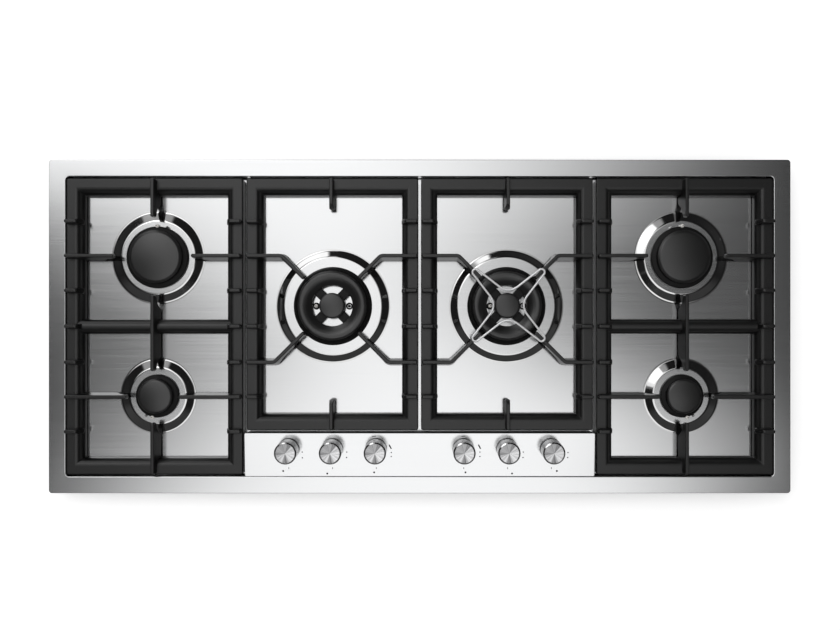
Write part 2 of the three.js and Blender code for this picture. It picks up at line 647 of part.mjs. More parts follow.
function dualHead({ x, y, size }) {
  const base = DUAL_SEAT + GAP;
  const gutter = base + GUTTER;
  const hub = DUAL_CAP - CAP_OVERHANG;
  const inner = DUAL_OPENING + RING_WALL;
  const crown = size.cap - CAP_OVERHANG;
  const wall = CROWN_WALL;
  const ring = turned([
    [inner, base], [size.head, base], [size.head, BASE_CREST],
    [crown, CROWN_TOP], [crown - wall, CROWN_TOP], [crown - wall, gutter],
    [inner + wall, gutter], [inner + wall, CROWN_TOP], [inner, CROWN_TOP],
  ], size.facets, x, y, PAD_TOP);
  const middle = turned([
    [0, base], [hub, base], [hub, CROWN_TOP], [hub - wall, CROWN_TOP], [hub - wall, gutter],
    [0, gutter],
  ], ROUND, x, y, PAD_TOP);
  const arms = spokes(hub - RING_WALL, inner + RING_WALL, base, CROWN_TOP - ARM_DROP, x, y);
  const outerSlots = portSlots(crown - 1.5 * wall, size.head + wall, size.facets, 4, x, y);
  const innerSlots = portSlots(hub - 1.5 * wall, hub + wall, ROUND, 4, x, y);
  return cut(join([ring, middle, ...arms]), [...outerSlots, ...innerSlots]);
}

function ringCap({ x, y, size }) {
  const seat = CROWN_TOP + GAP;
  return turned([
    [DUAL_OPENING, seat - CAP_LIP], [DUAL_OPENING + RING_WALL, seat], [size.cap, seat],
    [size.cap, CAP_TOP - RING_EDGE_DROP], [size.cap - RING_EDGE, CAP_TOP],
    [DUAL_OPENING + RING_ROLL, CAP_TOP - RING_SAG], [DUAL_OPENING, seat + RING_MOUTH],
  ], size.facets, x, y, PAD_TOP);
}

// Corners of the supply tube from a tap's outlet to its burner. Each kind of burner has its own
// height and its own lane across the tray, so that no two tubes meet.
function supplyRoute({ x, y, tap, lane, size }) {
  const height = TUBE_LOW + lane * TUBE_LANE;
  const across = PANEL_REAR + TUBE_CROSSING + lane * CROSSING_PITCH;
  const [start, outletY, outletZ] = fromTap(tap, OUTLET_REACH + GAP, TAP_OUTLET);
  const first = [
    [start, outletY, outletZ], [start, outletY + TUBE_RUN, outletZ], [start, across, height]];
  const stemSide = y - STEM_RADIUS + TUBE_BITE;
  if (size === DUAL) return [...first, [x, across, height], [x, stemSide, height]];
  const inwards = -Math.sign(x);
  const side = x + inwards * TUBE_SIDESTEP;
  return [...first, [side, across, height], [side, y, height],
    [x + inwards * (STEM_HOLE + CUP_WALL / 2), y, height]];
}

function burnerCup(burner) {
  const { x, y, size } = burner;
  const tube = pipe(supplyRoute(burner), TUBE_RADIUS, TINY_ROUND);
  if (size === DUAL) return dualBase(burner).add(tube);
  const inner = STEM_HOLE;
  const outer = inner + CUP_WALL;
  const bottom = PAD_UNDER - CUP_DEPTH;
  return turned([
    [0, bottom], [outer, bottom], [outer, PAD_UNDER], [inner, PAD_UNDER],
    [inner, bottom + CUP_WALL], [0, bottom + CUP_WALL],
  ], HOLE_ROUND, x, y).add(tube);
}

// Spark plug and flame probe on a common bracket under the pad. A dual burner's bracket is a
// ring, because its stem comes down between them.
function electrodes(burner) {
  const { x, y, size } = burner;
  const spark = sensorPlace(burner, burner.spark);
  const probe = sensorPlace(burner, burner.probe);
  const tip = SPARK_RADIUS / 3;
  const plug = turned([
    [0, -SENSOR_DROP], [SPARK_RADIUS, -SENSOR_DROP], [SPARK_RADIUS, SPARK_SHOULDER],
    [tip, SPARK_NECK], [tip, SPARK_TOP], [0, SPARK_TOP],
  ], TINY_ROUND, ...spark, PAD_TOP);
  const rod = turned([
    [0, -SENSOR_DROP], [PROBE_RADIUS, -SENSOR_DROP], [PROBE_RADIUS, PROBE_SHOULDER],
    [PROBE_TIP, PROBE_NECK], [PROBE_TIP, PROBE_EDGE], [0, PROBE_TOP],
  ], TINY_ROUND, ...probe, PAD_TOP);
  const base = PAD_UNDER - BRACKET_THICKNESS;
  if (size === DUAL) {
    const inner = STEM_HOLE;
    const outer = (DUAL_CAP + DUAL_OPENING) / 2 + BRACKET_WIDTH / 2;
    const ring = turned([[inner, base], [outer, base], [outer, PAD_UNDER], [inner, PAD_UNDER]],
      HOLE_ROUND, x, y);
    return join([ring, plug, rod]);
  }
  const [dx, dy] = [probe[0] - spark[0], probe[1] - spark[1]];
  const length = Math.hypot(dx, dy) + BRACKET_WIDTH;
  const strap = solid(new THREE.BoxGeometry(length, BRACKET_WIDTH, BRACKET_THICKNESS)
    .rotateZ(Math.atan2(dy, dx))
    .translate(spark[0] + dx / 2, spark[1] + dy / 2, PAD_UNDER - BRACKET_THICKNESS / 2));
  return join([strap, plug, rod]);
}

// ---- Pan supports ----

// The cast frame: a bar section carried round a rectangle with small cut corners. The section
// has a flat top beside the outer edge and falls in a curve to its inner side.
function supportFrame(width, depth, x, y) {
  const fall = BAR_WIDTH - BAR_FLAT;
  const curve = [0, 1, 2].map((step) => {
    const turn = step * Math.PI / 4;
    return [BAR_FLAT + fall * Math.sin(turn), BAR_TOP * (1 - BAR_FALL * (1 - Math.cos(turn)))];
  });
  const section = [
    [0, 0], [0, BAR_TOP - BAR_EDGE], [BAR_EDGE, BAR_TOP], ...curve, [BAR_WIDTH, 0]];
  const rings = [[1, 1], [-1, 1], [-1, -1], [1, -1]].flatMap(([sideX, sideY]) => {
    const ends = [0, 1].map((end) => section.map(([inset, z]) => {
      const chamfer = BAR_CORNER * (1 - inset / (BAR_WIDTH + BAR_CORNER));
      const first = (end === 0) === (sideX * sideY > 0);
      return new THREE.Vector3(
        x + sideX * (width / 2 - inset - (first ? 0 : chamfer)),
        y + sideY * (depth / 2 - inset - (first ? chamfer : 0)),
        FLOOR + BAR_CLEAR + z);
    }));
    return ends;
  });
  return loft(rings, true);
}

// A blade with drafted sides: its side outline, in [distance along, height above the bar], is
// thickened by a width that grows downwards, and then laid from a start point in a direction.
function blade(outline, x, y, degrees) {
  const shape = new THREE.Shape(outline.map(([along, up]) => new THREE.Vector2(along, up)));
  const geometry = new THREE.ExtrudeGeometry(shape, { depth: 2, bevelEnabled: false });
  geometry.translate(0, 0, -1);
  const position = geometry.getAttribute('position');
  for (let index = 0; index < position.count; index += 1) {
    const up = position.getY(index);
    const half = FINGER_WIDTH / 2 + (FINGER_RISE - up) * FINGER_DRAFT;
    position.setZ(index, half * Math.sign(position.getZ(index)));
  }
  geometry.rotateX(Math.PI / 2).rotateZ(THREE.MathUtils.degToRad(degrees));
  return solid(geometry.translate(x, y, RIM_TOP));
}

// The curved cut from a finger's deep part up to its tip, walking inwards from the tip.
function tipOutline(end, way) {
  const low = FINGER_RISE - TIP_DEPTH;
  return [[end - way * TIP_EDGE, FINGER_RISE], [end, FINGER_RISE - TIP_EDGE], [end, low],
    [end - way * TIP_RUN, low - TIP_FALL], [end - way * GUSSET_RUN, GUSSET]];
}

function stubOutline(length) {
  const end = FINGER_INSET + length;
  return [[FINGER_INSET - TIP_EDGE, -ROOT_DEPTH], [FINGER_INSET, FINGER_RISE], [end, FINGER_RISE],
    [end + STUB_SLOPE, -ROOT_DEPTH]];
}

function fingerOutline(length) {
  const rooted = BAR_WIDTH - ROOT_INSET;
  return [[FINGER_INSET - TIP_EDGE, -ROOT_DEPTH], [FINGER_INSET, FINGER_RISE],
    ...tipOutline(length, 1), [rooted, GUSSET], [rooted, -ROOT_DEPTH]];
}

// A finger that runs in from the bar and then turns towards its burner.
function bentFinger(x, y, way, burner) {
  const offset = burner.y - y;
  const bendX = burner.x - way * Math.abs(offset);
  const run = Math.abs(bendX - x);
  const rooted = BAR_WIDTH - ROOT_INSET;
  const lapped = run + BEND_LAP;
  const first = [[FINGER_INSET - TIP_EDGE, -ROOT_DEPTH], [FINGER_INSET, FINGER_RISE],
    [lapped, FINGER_RISE], [lapped, GUSSET], [rooted, GUSSET], [rooted, -ROOT_DEPTH]];
  const arm = Math.abs(offset) * Math.SQRT2 - burner.size.reach;
  const low = FINGER_RISE - TIP_DEPTH;
  const second = [[-BEND_LAP, FINGER_RISE], [arm - TIP_EDGE, FINGER_RISE],
    [arm, FINGER_RISE - TIP_EDGE], [arm, low], [BEND_RUN, low - TIP_FALL],
    [BEND_FALL, GUSSET + BEND_RISE], [-BEND_LAP, GUSSET]];
  const turn = THREE.MathUtils.radToDeg(Math.atan2(Math.sign(offset), way));
  return blade(first, x, y, way > 0 ? 0 : 180).add(blade(second, bendX, y, turn));
}

// Bar that crosses an outer support between its two burners, with a round crest.
function crossbar(x, width) {
  const half = CROSSBAR_WIDTH / 2;
  const shape = new THREE.Shape();
  shape.moveTo(half, 0);
  shape.lineTo(half, BAR_TOP * CREST_START);
  shape.quadraticCurveTo(half, BAR_TOP, 0, BAR_TOP);
  shape.quadraticCurveTo(-half, BAR_TOP, -half, BAR_TOP * CREST_START);
  shape.lineTo(-half, 0);
  const settings = { depth: width, bevelEnabled: false, curveSegments: 3 };
  return solid(new THREE.ExtrudeGeometry(shape, settings).translate(0, 0, -width / 2)
    .rotateX(Math.PI / 2).rotateZ(Math.PI / 2).translate(x, 0, FLOOR + BAR_CLEAR));
}

function supportFeet(width, depth, x, y) {
  const reach = BAR_WIDTH / 2;
  return [[1, 1], [-1, 1], [-1, -1], [1, -1]].map(([sideX, sideY]) => {
    const left = x + sideX * (width / 2 - reach) - FOOT_SIZE / 2;
    const front = y + sideY * (depth / 2 - reach) - FOOT_SIZE / 2;
    return block([left, front, FLOOR + GAP],
      [left + FOOT_SIZE, front + FOOT_SIZE, FLOOR + BAR_CLEAR + FOOT_SINK]);
  });
}

// Distance of a row of fingers and stubs from the hob's middle. Rows are numbered from the middle,
// where a support has one row more.
function rowPlace(row) {
  const steps = Math.abs(row) - 1;
  return row === 0 ? 0 : Math.sign(row) * (ROW_FIRST + steps * ROW_PITCH);
}

// Outer support over a rapid burner behind and a semi-rapid one in front.
function outerSupport(side) {
  const [rear, front] = BURNERS.filter(({ x, size }) => x * side > 0 && size !== DUAL)
    .sort((one, other) => other.y - one.y);
  const width = OUTER_SUPPORT_WIDTH;
  const depth = WELL_DEPTH - 2 * SUPPORT_GAP;
  const x = side * OUTER_X;
  const left = x - width / 2;
  const right = x + width / 2;
  const back = depth / 2;
  const parts = [supportFrame(width, depth, x, 0), crossbar(x, width - BAR_WIDTH),
    ...supportFeet(width, depth, x, 0)];
  for (let row = -3; row <= 3; row += 1) {
    const burner = { 2: rear, '-2': front }[row];
    const y = rowPlace(row);
    const leftOutline = burner
      ? fingerOutline(burner.x - burner.size.reach - left) : stubOutline(STUB_LENGTH);
    const rightOutline = burner
      ? fingerOutline(right - burner.x - burner.size.reach) : stubOutline(STUB_LENGTH);
    parts.push(blade(leftOutline, left, y, 0), blade(rightOutline, right, y, 180));
  }
  const bridge = [
    ...tipOutline(rear.y - rear.size.reach, 1),
    ...tipOutline(front.y + front.size.reach, -1).reverse(),
  ];
  parts.push(
    blade(fingerOutline(back - rear.y - rear.size.reach), rear.x, back, -90),
    blade(fingerOutline(back + front.y - front.size.reach), front.x, -back, 90),
    blade(bridge, rear.x, 0, 90),
  );
  return join(parts);
}

// Centre support over a dual burner, with four fingers that turn in towards it.
function centreSupport(side) {
  const burner = BURNERS.find(({ x, size }) => x * side > 0 && size === DUAL);
  const width = CENTRE_EDGE - CENTRE_SPLIT / 2;
  const back = WELL_DEPTH / 2 - SUPPORT_GAP;
  const front = PANEL_REAR + SUPPORT_FRONT;
  const x = side * (CENTRE_EDGE + CENTRE_SPLIT / 2) / 2;
  const y = (back + front) / 2;
  const depth = back - front;
  const left = x - width / 2;
  const right = x + width / 2;
  const parts = [supportFrame(width, depth, x, y), ...supportFeet(width, depth, x, y)];
  for (let row = -2; row <= 3; row += 1) {
    const rowY = rowPlace(row);
    if (row === 2 || row === -1) {
      parts.push(bentFinger(left, rowY, 1, burner), bentFinger(right, rowY, -1, burner));
    } else {
      const stub = stubOutline(STUB_LENGTH);
      parts.push(blade(stub, left, rowY, 0), blade(stub, right, rowY, 180));
    }
  }
  parts.push(blade(stubOutline(CENTRE_STUB), burner.x, back, -90));
  parts.push(blade(stubOutline(CENTRE_STUB), burner.x, front, 90));
  return join(parts);
}

// ---- Wire trivet ----

// One endless wire in a plane: four hairpin ends over the fingers and four rounded valleys.
function wireTrivet() {
  const burner = BURNERS.find(({ name }) => name === 'centre_right');
  const height = RIM_TOP + FINGER_RISE + GAP + WIRE_RADIUS;
  const path = [];
  for (let lobe = 0; lobe < 4; lobe += 1) {
    const turn = (lobe + 0.5) * Math.PI / 2;
    const along = new THREE.Vector3(Math.cos(turn), Math.sin(turn), 0);
    const across = new THREE.Vector3(-Math.sin(turn), Math.cos(turn), 0);
    for (const bend of [-Math.PI / 2, 0, Math.PI / 2]) {
      path.push(along.clone().multiplyScalar(TRIVET_TIP - HAIRPIN + HAIRPIN * Math.cos(bend))
        .addScaledVector(across, HAIRPIN * Math.sin(bend)));
    }
    for (let step = -1; step <= 1; step += 1) {
      const bend = turn + Math.PI / 4 + step * VALLEY_TURN;
      const radius = TRIVET_VALLEY + VALLEY_RISE * Math.abs(step);
      path.push(new THREE.Vector3(radius * Math.cos(bend), radius * Math.sin(bend), 0));
    }
  }
  const centre = new THREE.Vector3(burner.x, burner.y, height);
  const rings = path.map((point, index) => {
    const before = path[(index + path.length - 1) % path.length];
    const after = path[(index + 1) % path.length];
    const direction = after.clone().sub(before).normalize();
    return circle(point.clone().add(centre), direction, WIRE_RADIUS, TINY_ROUND);
  });
  return loft(rings, true);
}

// ---- Assembly ----

const MATERIALS = {
  steel: { color: 0xb9bbbd, roughness: 0.32, metalness: 1 },
  zincPlate: { color: 0x9a9d9f, roughness: 0.5, metalness: 1 },
  castIron: { color: 0x2b2c2e, roughness: 0.62, metalness: 0.1 },
  enamel: { color: 0x3a3b3d, roughness: 0.42, metalness: 0.1 },
  blackAlloy: { color: 0x151515, roughness: 0.55, metalness: 0.4 },
  brushedAlloy: { color: 0xa8a9aa, roughness: 0.28, metalness: 1 },
  chrome: { color: 0xdadcde, roughness: 0.1, metalness: 1 },
  brass: { color: 0xb08d4f, roughness: 0.4, metalness: 1 },
  foam: { color: 0x202020, roughness: 0.95, metalness: 0 },
  ceramic: { color: 0xe9e6df, roughness: 0.35, metalness: 0 },
};

const finishes = Object.fromEntries(Object.entries(MATERIALS).map(([name, look]) => (
  [name, new THREE.MeshStandardMaterial({ name, flatShading: true, ...look })])));

function addPiece(parent, name, body, finish) {
  const { vertProperties, triVerts } = body.getMesh();
  const geometry = new THREE.BufferGeometry();
  geometry.setAttribute('position', new THREE.BufferAttribute(new Float32Array(vertProperties), 3));
  geometry.setIndex(new THREE.BufferAttribute(new Uint32Array(triVerts), 1));
  geometry.computeVertexNormals();
  const mesh = new THREE.Mesh(geometry, finishes[finish]);
  mesh.name = name;
  parent.add(mesh);
}

const hob = new THREE.Group();
hob.name = 'gas_hob';

addPiece(hob, 'hob_top', hobTop(), 'steel');
addPiece(hob, 'control_panel', controlPanel(), 'steel');
addPiece(hob, 'bottom_tray', bottomTray(), 'zincPlate');
addPiece(hob, 'worktop_seal', worktopSeal(), 'foam');
addPiece(hob, 'gas_manifold', gasManifold(), 'brass');

for (const burner of BURNERS) {
  const { name, x, y, size } = burner;
  const dual = size === DUAL;
  addPiece(hob, `burner_cup_${name}`, burnerCup(burner), 'blackAlloy');
  addPiece(hob, `burner_head_${name}`, dual ? dualHead(burner) : singleHead(burner),
    'blackAlloy');
  const cap = dual ? ringCap(burner) : flatCap(size.cap, size.facets, x, y);
  addPiece(hob, `burner_cap_${name}`, cap, 'enamel');
  if (dual) addPiece(hob, `centre_cap_${name}`, flatCap(DUAL_CAP, ROUND, x, y), 'enamel');
  addPiece(hob, `electrodes_${name}`, electrodes(burner), 'ceramic');

  const tap = new THREE.Group();
  tap.position.set(tapX(burner.tap), KNOB_Y, KNOB_Z);
  tap.rotation.x = PANEL_TILT;
  addPiece(tap, `tap_body_${name}`, tapBody(), 'brass');
  addPiece(tap, `tap_plug_${name}`, tapPlug(), 'brass');
  addPiece(tap, `tap_spindle_${name}`, tapSpindle(), 'brass');
  addPiece(tap, `knob_${name}`, knob(), 'brushedAlloy');
  hob.add(tap);
}

addPiece(hob, 'pan_support_left', outerSupport(-1), 'castIron');
addPiece(hob, 'pan_support_centre_left', centreSupport(-1), 'castIron');
addPiece(hob, 'pan_support_centre_right', centreSupport(1), 'castIron');
addPiece(hob, 'pan_support_right', outerSupport(1), 'castIron');
addPiece(hob, 'wire_trivet', wireTrivet(), 'chrome');

export default hob;
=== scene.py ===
"""Looks of a built-in gas hob with six burners, seen from straight above.

Sizes are in millimetres, X to the right, Y to the back and Z up from the underside of the tray.
They become metres when a mesh is made. Every shape is worked out as whole arrays: a profile
turned about an axis, a section carried along a path, or a row of outlines skinned together.
"""
import math
from collections import namedtuple
from functools import partial

import bmesh
import bpy
import numpy as np
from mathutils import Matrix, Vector
from mathutils.geometry import tessellate_polygon


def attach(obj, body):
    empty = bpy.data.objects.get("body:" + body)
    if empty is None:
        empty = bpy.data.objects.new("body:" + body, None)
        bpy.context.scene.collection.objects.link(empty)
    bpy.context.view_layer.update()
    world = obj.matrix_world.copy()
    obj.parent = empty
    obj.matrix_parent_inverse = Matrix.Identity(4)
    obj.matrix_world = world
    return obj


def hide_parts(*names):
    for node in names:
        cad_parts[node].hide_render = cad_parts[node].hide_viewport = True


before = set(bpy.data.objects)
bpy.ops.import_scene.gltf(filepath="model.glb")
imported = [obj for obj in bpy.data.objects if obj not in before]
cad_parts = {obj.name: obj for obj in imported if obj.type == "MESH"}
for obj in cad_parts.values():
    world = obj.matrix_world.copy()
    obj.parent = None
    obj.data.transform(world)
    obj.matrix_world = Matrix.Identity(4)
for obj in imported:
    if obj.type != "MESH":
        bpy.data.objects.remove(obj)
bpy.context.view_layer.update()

# ---- Sizes ----

RIM = (1156, 520)
RIM_TOP = 62.0
SHEET = 1.2
FLOOR = 39.0  # the well's, under the burners
PAD_TOP = 42.0
WELL_FRONT = -235.5
PANEL_REAR = -165.8
TILT = math.radians(4.5)  # of the control panel, and of the taps with it
KNOB_Y = -191.0
KNOB_Z = RIM_TOP + (KNOB_Y - WELL_FRONT) * math.tan(TILT)
SLOPE_LEAN = 0.0017  # metres by which the pads' slopes shade as if they were higher

OUTER_X = 413.15
CENTRE_X = 136.9
SECOND_ROW = 109.2
KNOB_PITCH = 68.1
# Plan radii of a burner's head, its cap, its pad's foot and its pad's crest, and how near the
# fingers' tips come to its axis. spark and probe are bearings in degrees, tap_x is its tap's place.
Burner = namedtuple("Burner", "x y head cap foot crest reach spark probe tap_x")
RAPID = (48.7, 41.5, 72.0, 58.5, 60.0)
SEMI = (34.0, 27.0, 58.5, 45.0, 40.0)
LARGE = (56.6, 54.2, 88.5, 77.8, 59.5)
BURNERS = {
    "left_rear": Burner(-OUTER_X, SECOND_ROW, *RAPID, 90, 71, -3 * KNOB_PITCH),
    "left_front": Burner(-OUTER_X, -SECOND_ROW, *SEMI, -103, -119, -2 * KNOB_PITCH),
    "centre_left": Burner(-CENTRE_X, 32.5, *LARGE, 180, 0, -KNOB_PITCH),
    "centre_right": Burner(CENTRE_X, 32.5, *LARGE, 180, 0, KNOB_PITCH),
    "right_front": Burner(OUTER_X, -SECOND_ROW, *SEMI, -77, -61, 2 * KNOB_PITCH),
    "right_rear": Burner(OUTER_X, SECOND_ROW, *RAPID, 90, 109, 3 * KNOB_PITCH),
}
SINGLE = ("left_rear", "left_front", "right_front", "right_rear")
DUAL = ("centre_left", "centre_right")

SHARP_DEGREES = 35

# ---- Making surfaces ----


def soften(points, radius, steps=5, closed=False):
    """Rounds a polyline's corners: each corner becomes a quadratic arc that starts and ends one
    radius away from it, or halfway along the shorter neighbour, with the corner as its handle."""
    points = np.asarray(points, float)
    radii = np.broadcast_to(np.asarray(radius, float), len(points))
    before, after = np.roll(points, 1, 0), np.roll(points, -1, 0)
    back, on = before - points, after - points
    back_length = np.linalg.norm(back, axis=1) + 1e-12
    on_length = np.linalg.norm(on, axis=1) + 1e-12
    reach = np.minimum(radii, 0.49 * np.minimum(back_length, on_length))
    start = points + back * (reach / back_length)[:, None]
    end = points + on * (reach / on_length)[:, None]
    t = np.linspace(0, 1, steps + 1)[None, :, None]
    arcs = (1 - t) ** 2 * start[:, None] + 2 * t * (1 - t) * points[:, None] + t**2 * end[:, None]
    rows = [arc if r > 0 else p[None] for arc, r, p in zip(arcs, reach, points)]
    if not closed:
        rows[0], rows[-1] = points[:1], points[-1:]
    return np.concatenate(rows)


def skin(rows, around=True, along=False):
    """Quads between neighbouring rows of points. around joins each row's last point to its
    first, and along joins the last row to the first one."""
    rows = np.asarray(rows, float)
    m, n = rows.shape[:2]
    i = np.arange(m if along else m - 1)[:, None]
    j = np.arange(n if around else n - 1)[None, :]
    i2, j2 = (i + 1) % m, (j + 1) % n
    faces = np.stack(np.broadcast_arrays(i * n + j, i2 * n + j, i2 * n + j2, i * n + j2), -1)
    return rows.reshape(-1, 3), faces.reshape(-1, 4).tolist()


def closed_ends(rows):
    """A skin whose first and last rows shrink to their middles, so that the form is closed."""
    rows = np.asarray(rows, float)
    first = np.broadcast_to(rows[0].mean(0), rows[0].shape)
    last = np.broadcast_to(rows[-1].mean(0), rows[-1].shape)
    return skin(np.concatenate([first[None], rows, last[None]]))


def turned(profile, x=0.0, y=0.0, z=0.0, segments=96, ring=False):
    """A profile of radius and height turned about the vertical axis through x, y. A ring's
    profile closes on itself."""
    profile = np.asarray(profile, float)
    angle = np.linspace(0, 2 * np.pi, segments, endpoint=False)
    radius, height = profile[:, :1], profile[:, 1:2]
    rows = np.stack([x + radius * np.cos(angle), y + radius * np.sin(angle),
                     z + height + 0 * angle], -1)
    return skin(rows, True, ring)


def outline(width, depth, radius, x=0.0, y=0.0, steps=8):
    """A rectangle with round corners: each corner's centre plus its radius times a direction
    that turns a quarter circle. Counts match for every size, so outlines can be skinned."""
    quarter = np.linspace(0, np.pi / 2, steps + 1)
    start = np.arange(4)[:, None] * np.pi / 2
    angle = start + quarter[None]
    side = np.array([[1, 1], [-1, 1], [-1, -1], [1, -1]], float)[:, None]
    centre = side * [width / 2 - radius, depth / 2 - radius]
    points = centre + radius * np.stack([np.cos(angle), np.sin(angle)], -1)
    return points.reshape(-1, 2) + [x, y]


def raised(flat, height):
    """Plan points set at a height, which is a number or one number for each point."""
    flat = np.asarray(flat, float)
    return np.column_stack([flat, np.broadcast_to(height, len(flat))])


def sheet(loops, height):
    """A flat face bounded by the first loop, with the other loops as holes."""
    loops = [np.asarray(loop, float) for loop in loops]
    points = np.concatenate(loops)
    faces = tessellate_polygon([[Vector((*p, 0)) for p in loop] for loop in loops])
    return raised(points, height(points) if callable(height) else height), faces


def spin(turn):
    """The matrix that turns plan rows by an angle."""
    return np.array([[math.cos(turn), math.sin(turn)], [-math.sin(turn), math.cos(turn)]])


def circle(radius, x, y, segments=96):
    """Plan points of a circle."""
    angle = np.linspace(0, 2 * np.pi, segments, endpoint=False)
    return np.column_stack([x + radius * np.cos(angle), y + radius * np.sin(angle)])


def tube(path, radius, sides=14, endless=False):
    """A round section carried along a path: at each point a circle stands square to the path,
    between a level direction across it and the one square to both."""
    path = np.asarray(path, float)
    if endless:
        direction = np.roll(path, -1, 0) - np.roll(path, 1, 0)
    else:
        direction = np.gradient(path, axis=0)
    direction /= np.linalg.norm(direction, axis=1)[:, None]
    up = np.array([0, 0, 1.0])
    across = np.cross(np.broadcast_to(up, path.shape), direction)
    across /= np.linalg.norm(across, axis=1)[:, None] + 1e-9
    upright = np.cross(direction, across)
    angle = np.linspace(0, 2 * np.pi, sides, endpoint=False)[None, :, None]
    rows = path[:, None] + radius * (np.cos(angle) * across[:, None]
                                     + np.sin(angle) * upright[:, None])
    return skin(rows, True, True) if endless else closed_ends(rows)


def on_axis(points, x):
    """Places seen from a tap's leaning axis: across it, up the panel and out of the panel."""
    px, py, pz = (points - [x, KNOB_Y, KNOB_Z]).T
    c, s = math.cos(TILT), math.sin(TILT)
    return np.column_stack([px, py * c + pz * s, pz * c - py * s])


def tilted(part, x):
    """A form made on an upright axis, leaned forward with the panel and set on its tap."""
    points, faces = part
    c, s = math.cos(TILT), math.sin(TILT)
    px, py, pz = points.T
    return np.column_stack([px + x, KNOB_Y + py * c - pz * s, KNOB_Z + py * s + pz * c]), faces


def piece(name, parts, body, material, stands_for=()):
    """Joins forms into one mesh, closes its poles, points its faces outwards, sets it on its
    body and gives it its finish."""
    offset, points, faces = 0, [], []
    for part_points, part_faces in parts:
        points.append(part_points)
        faces += [[index + offset for index in face] for face in part_faces]
        offset += len(part_points)
    points = np.concatenate(points)
    mesh = bpy.data.meshes.new(name)
    mesh.from_pydata((points * 0.001).tolist(), [], faces)
    form = bmesh.new()
    form.from_mesh(mesh)
    bmesh.ops.remove_doubles(form, verts=form.verts, dist=2e-6)
    bmesh.ops.dissolve_degenerate(form, edges=form.edges, dist=1e-7)
    bmesh.ops.recalc_face_normals(form, faces=form.faces)
    form.to_mesh(mesh)
    form.free()
    mesh.shade_smooth()
    mesh.set_sharp_from_angle(angle=math.radians(SHARP_DEGREES))
    made = bpy.data.objects.new(name, mesh)
    bpy.context.scene.collection.objects.link(made)
    made.data.materials.append(material)
    shading = made.modifiers.new("flat faces", "WEIGHTED_NORMAL")
    shading.keep_sharp = True
    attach(made, body)
    if stands_for:
        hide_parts(*stands_for)
    return made


def places(items, what):
    """The middles of faces or the places of vertices, in millimetres."""
    rows = np.empty(len(items) * 3)
    items.foreach_get(what, rows)
    return rows.reshape(-1, 3) * 1000


def second_finish(made, material, picked):
    """Gives the picked faces of a piece another finish."""
    made.data.materials.append(material)
    made.data.polygons.foreach_set("material_index", picked.astype(np.int32))


# ---- Materials ----


def new_material(name):
    """A material with an empty tree, its output and its Principled shader."""
    made = bpy.data.materials.new(name)
    made.use_nodes = True
    tree = made.node_tree
    tree.nodes.clear()
    output = tree.nodes.new("ShaderNodeOutputMaterial")
    shader = tree.nodes.new("ShaderNodeBsdfPrincipled")
    tree.links.new(shader.outputs[0], output.inputs[0])
    return made, tree, shader


def feed(tree, node, inputs):
    """Gives inputs of a node their values, or joins them to other nodes' sockets."""
    for key, value in inputs.items():
        if isinstance(value, bpy.types.NodeSocket):
            tree.links.new(value, node.inputs[key])
        else:
            node.inputs[key].default_value = value


def add(tree, kind, inputs=None, **settings):
    """A node with its settings and its inputs."""
    made = tree.nodes.new("ShaderNode" + kind)
    for key, value in settings.items():
        setattr(made, key, value)
    feed(tree, made, inputs or {})
    return made


def sums(tree, operation, *values):
    """One sum on numbers or sockets."""
    return add(tree, "Math", dict(enumerate(values)), operation=operation).outputs[0]


def noise(tree, place, scale, detail):
    """Soft noise between nought and one."""
    inputs = {"Vector": place, "Scale": scale, "Detail": detail}
    return add(tree, "TexNoise", inputs).outputs[0]


def blend(tree, share, low, high):
    """A colour between two, each given as red, green and blue or as one grey."""
    ends = [(*np.broadcast_to(end, 3).tolist(), 1) for end in (low, high)]
    mix = add(tree, "Mix", {0: share, "A": ends[0], "B": ends[1]}, data_type="RGBA")
    return mix.outputs["Result"]


def group(name, inputs, outputs):
    """An empty node group with a Vector input, named inputs of numbers and named outputs."""
    made = bpy.data.node_groups.new(name, "ShaderNodeTree")
    made.interface.new_socket(name="Vector", in_out="INPUT", socket_type="NodeSocketVector")
    for key, value in inputs.items():
        socket = made.interface.new_socket(name=key, in_out="INPUT", socket_type="NodeSocketFloat")
        socket.default_value = value
    for key, kind in outputs.items():
        made.interface.new_socket(name=key, in_out="OUTPUT", socket_type="NodeSocket" + kind)
    return made, made.nodes.new("NodeGroupInput").outputs, made.nodes.new("NodeGroupOutput")


SKIN_OUTPUTS = {"Roughness": "Float", "Normal": "Vector", "Shade": "Float"}


def finish_skin(made, given, end, shade, height, distance):
    """Roughness as its set value plus the spread times the shade, and a bump from a height."""
    bump = add(made, "Bump",
               {"Strength": given["Strength"], "Distance": distance, "Height": height})
    rough = sums(made, "MULTIPLY_ADD", shade, given["Spread"], given["Roughness"])
    feed(made, end, {"Roughness": rough, "Normal": bump.outputs[0], "Shade": shade})
    return made


def brushed_group():
    """Lines along X: two noises stretched a hundredfold along the brushing, one fine and one
    broad. Their mix drives shade and roughness, and the fine one a slight bump."""
    inputs = {"Strength": 0.5, "Roughness": 0.25, "Spread": 0.1}
    made, given, end = group("Brushing", inputs, SKIN_OUTPUTS)
    drawn_out = (add(made, "Mapping", {0: given["Vector"], "Scale": scale}).outputs[0]
                 for scale in ((14, 2600, 400), (5, 420, 80)))
    fine, broad = (noise(made, place, 1.0, 3.0) for place in drawn_out)
    lines = add(made, "Mix", {0: 0.6, 2: fine, 3: broad}).outputs[0]
    return finish_skin(made, given, end, lines, fine, 0.00003)


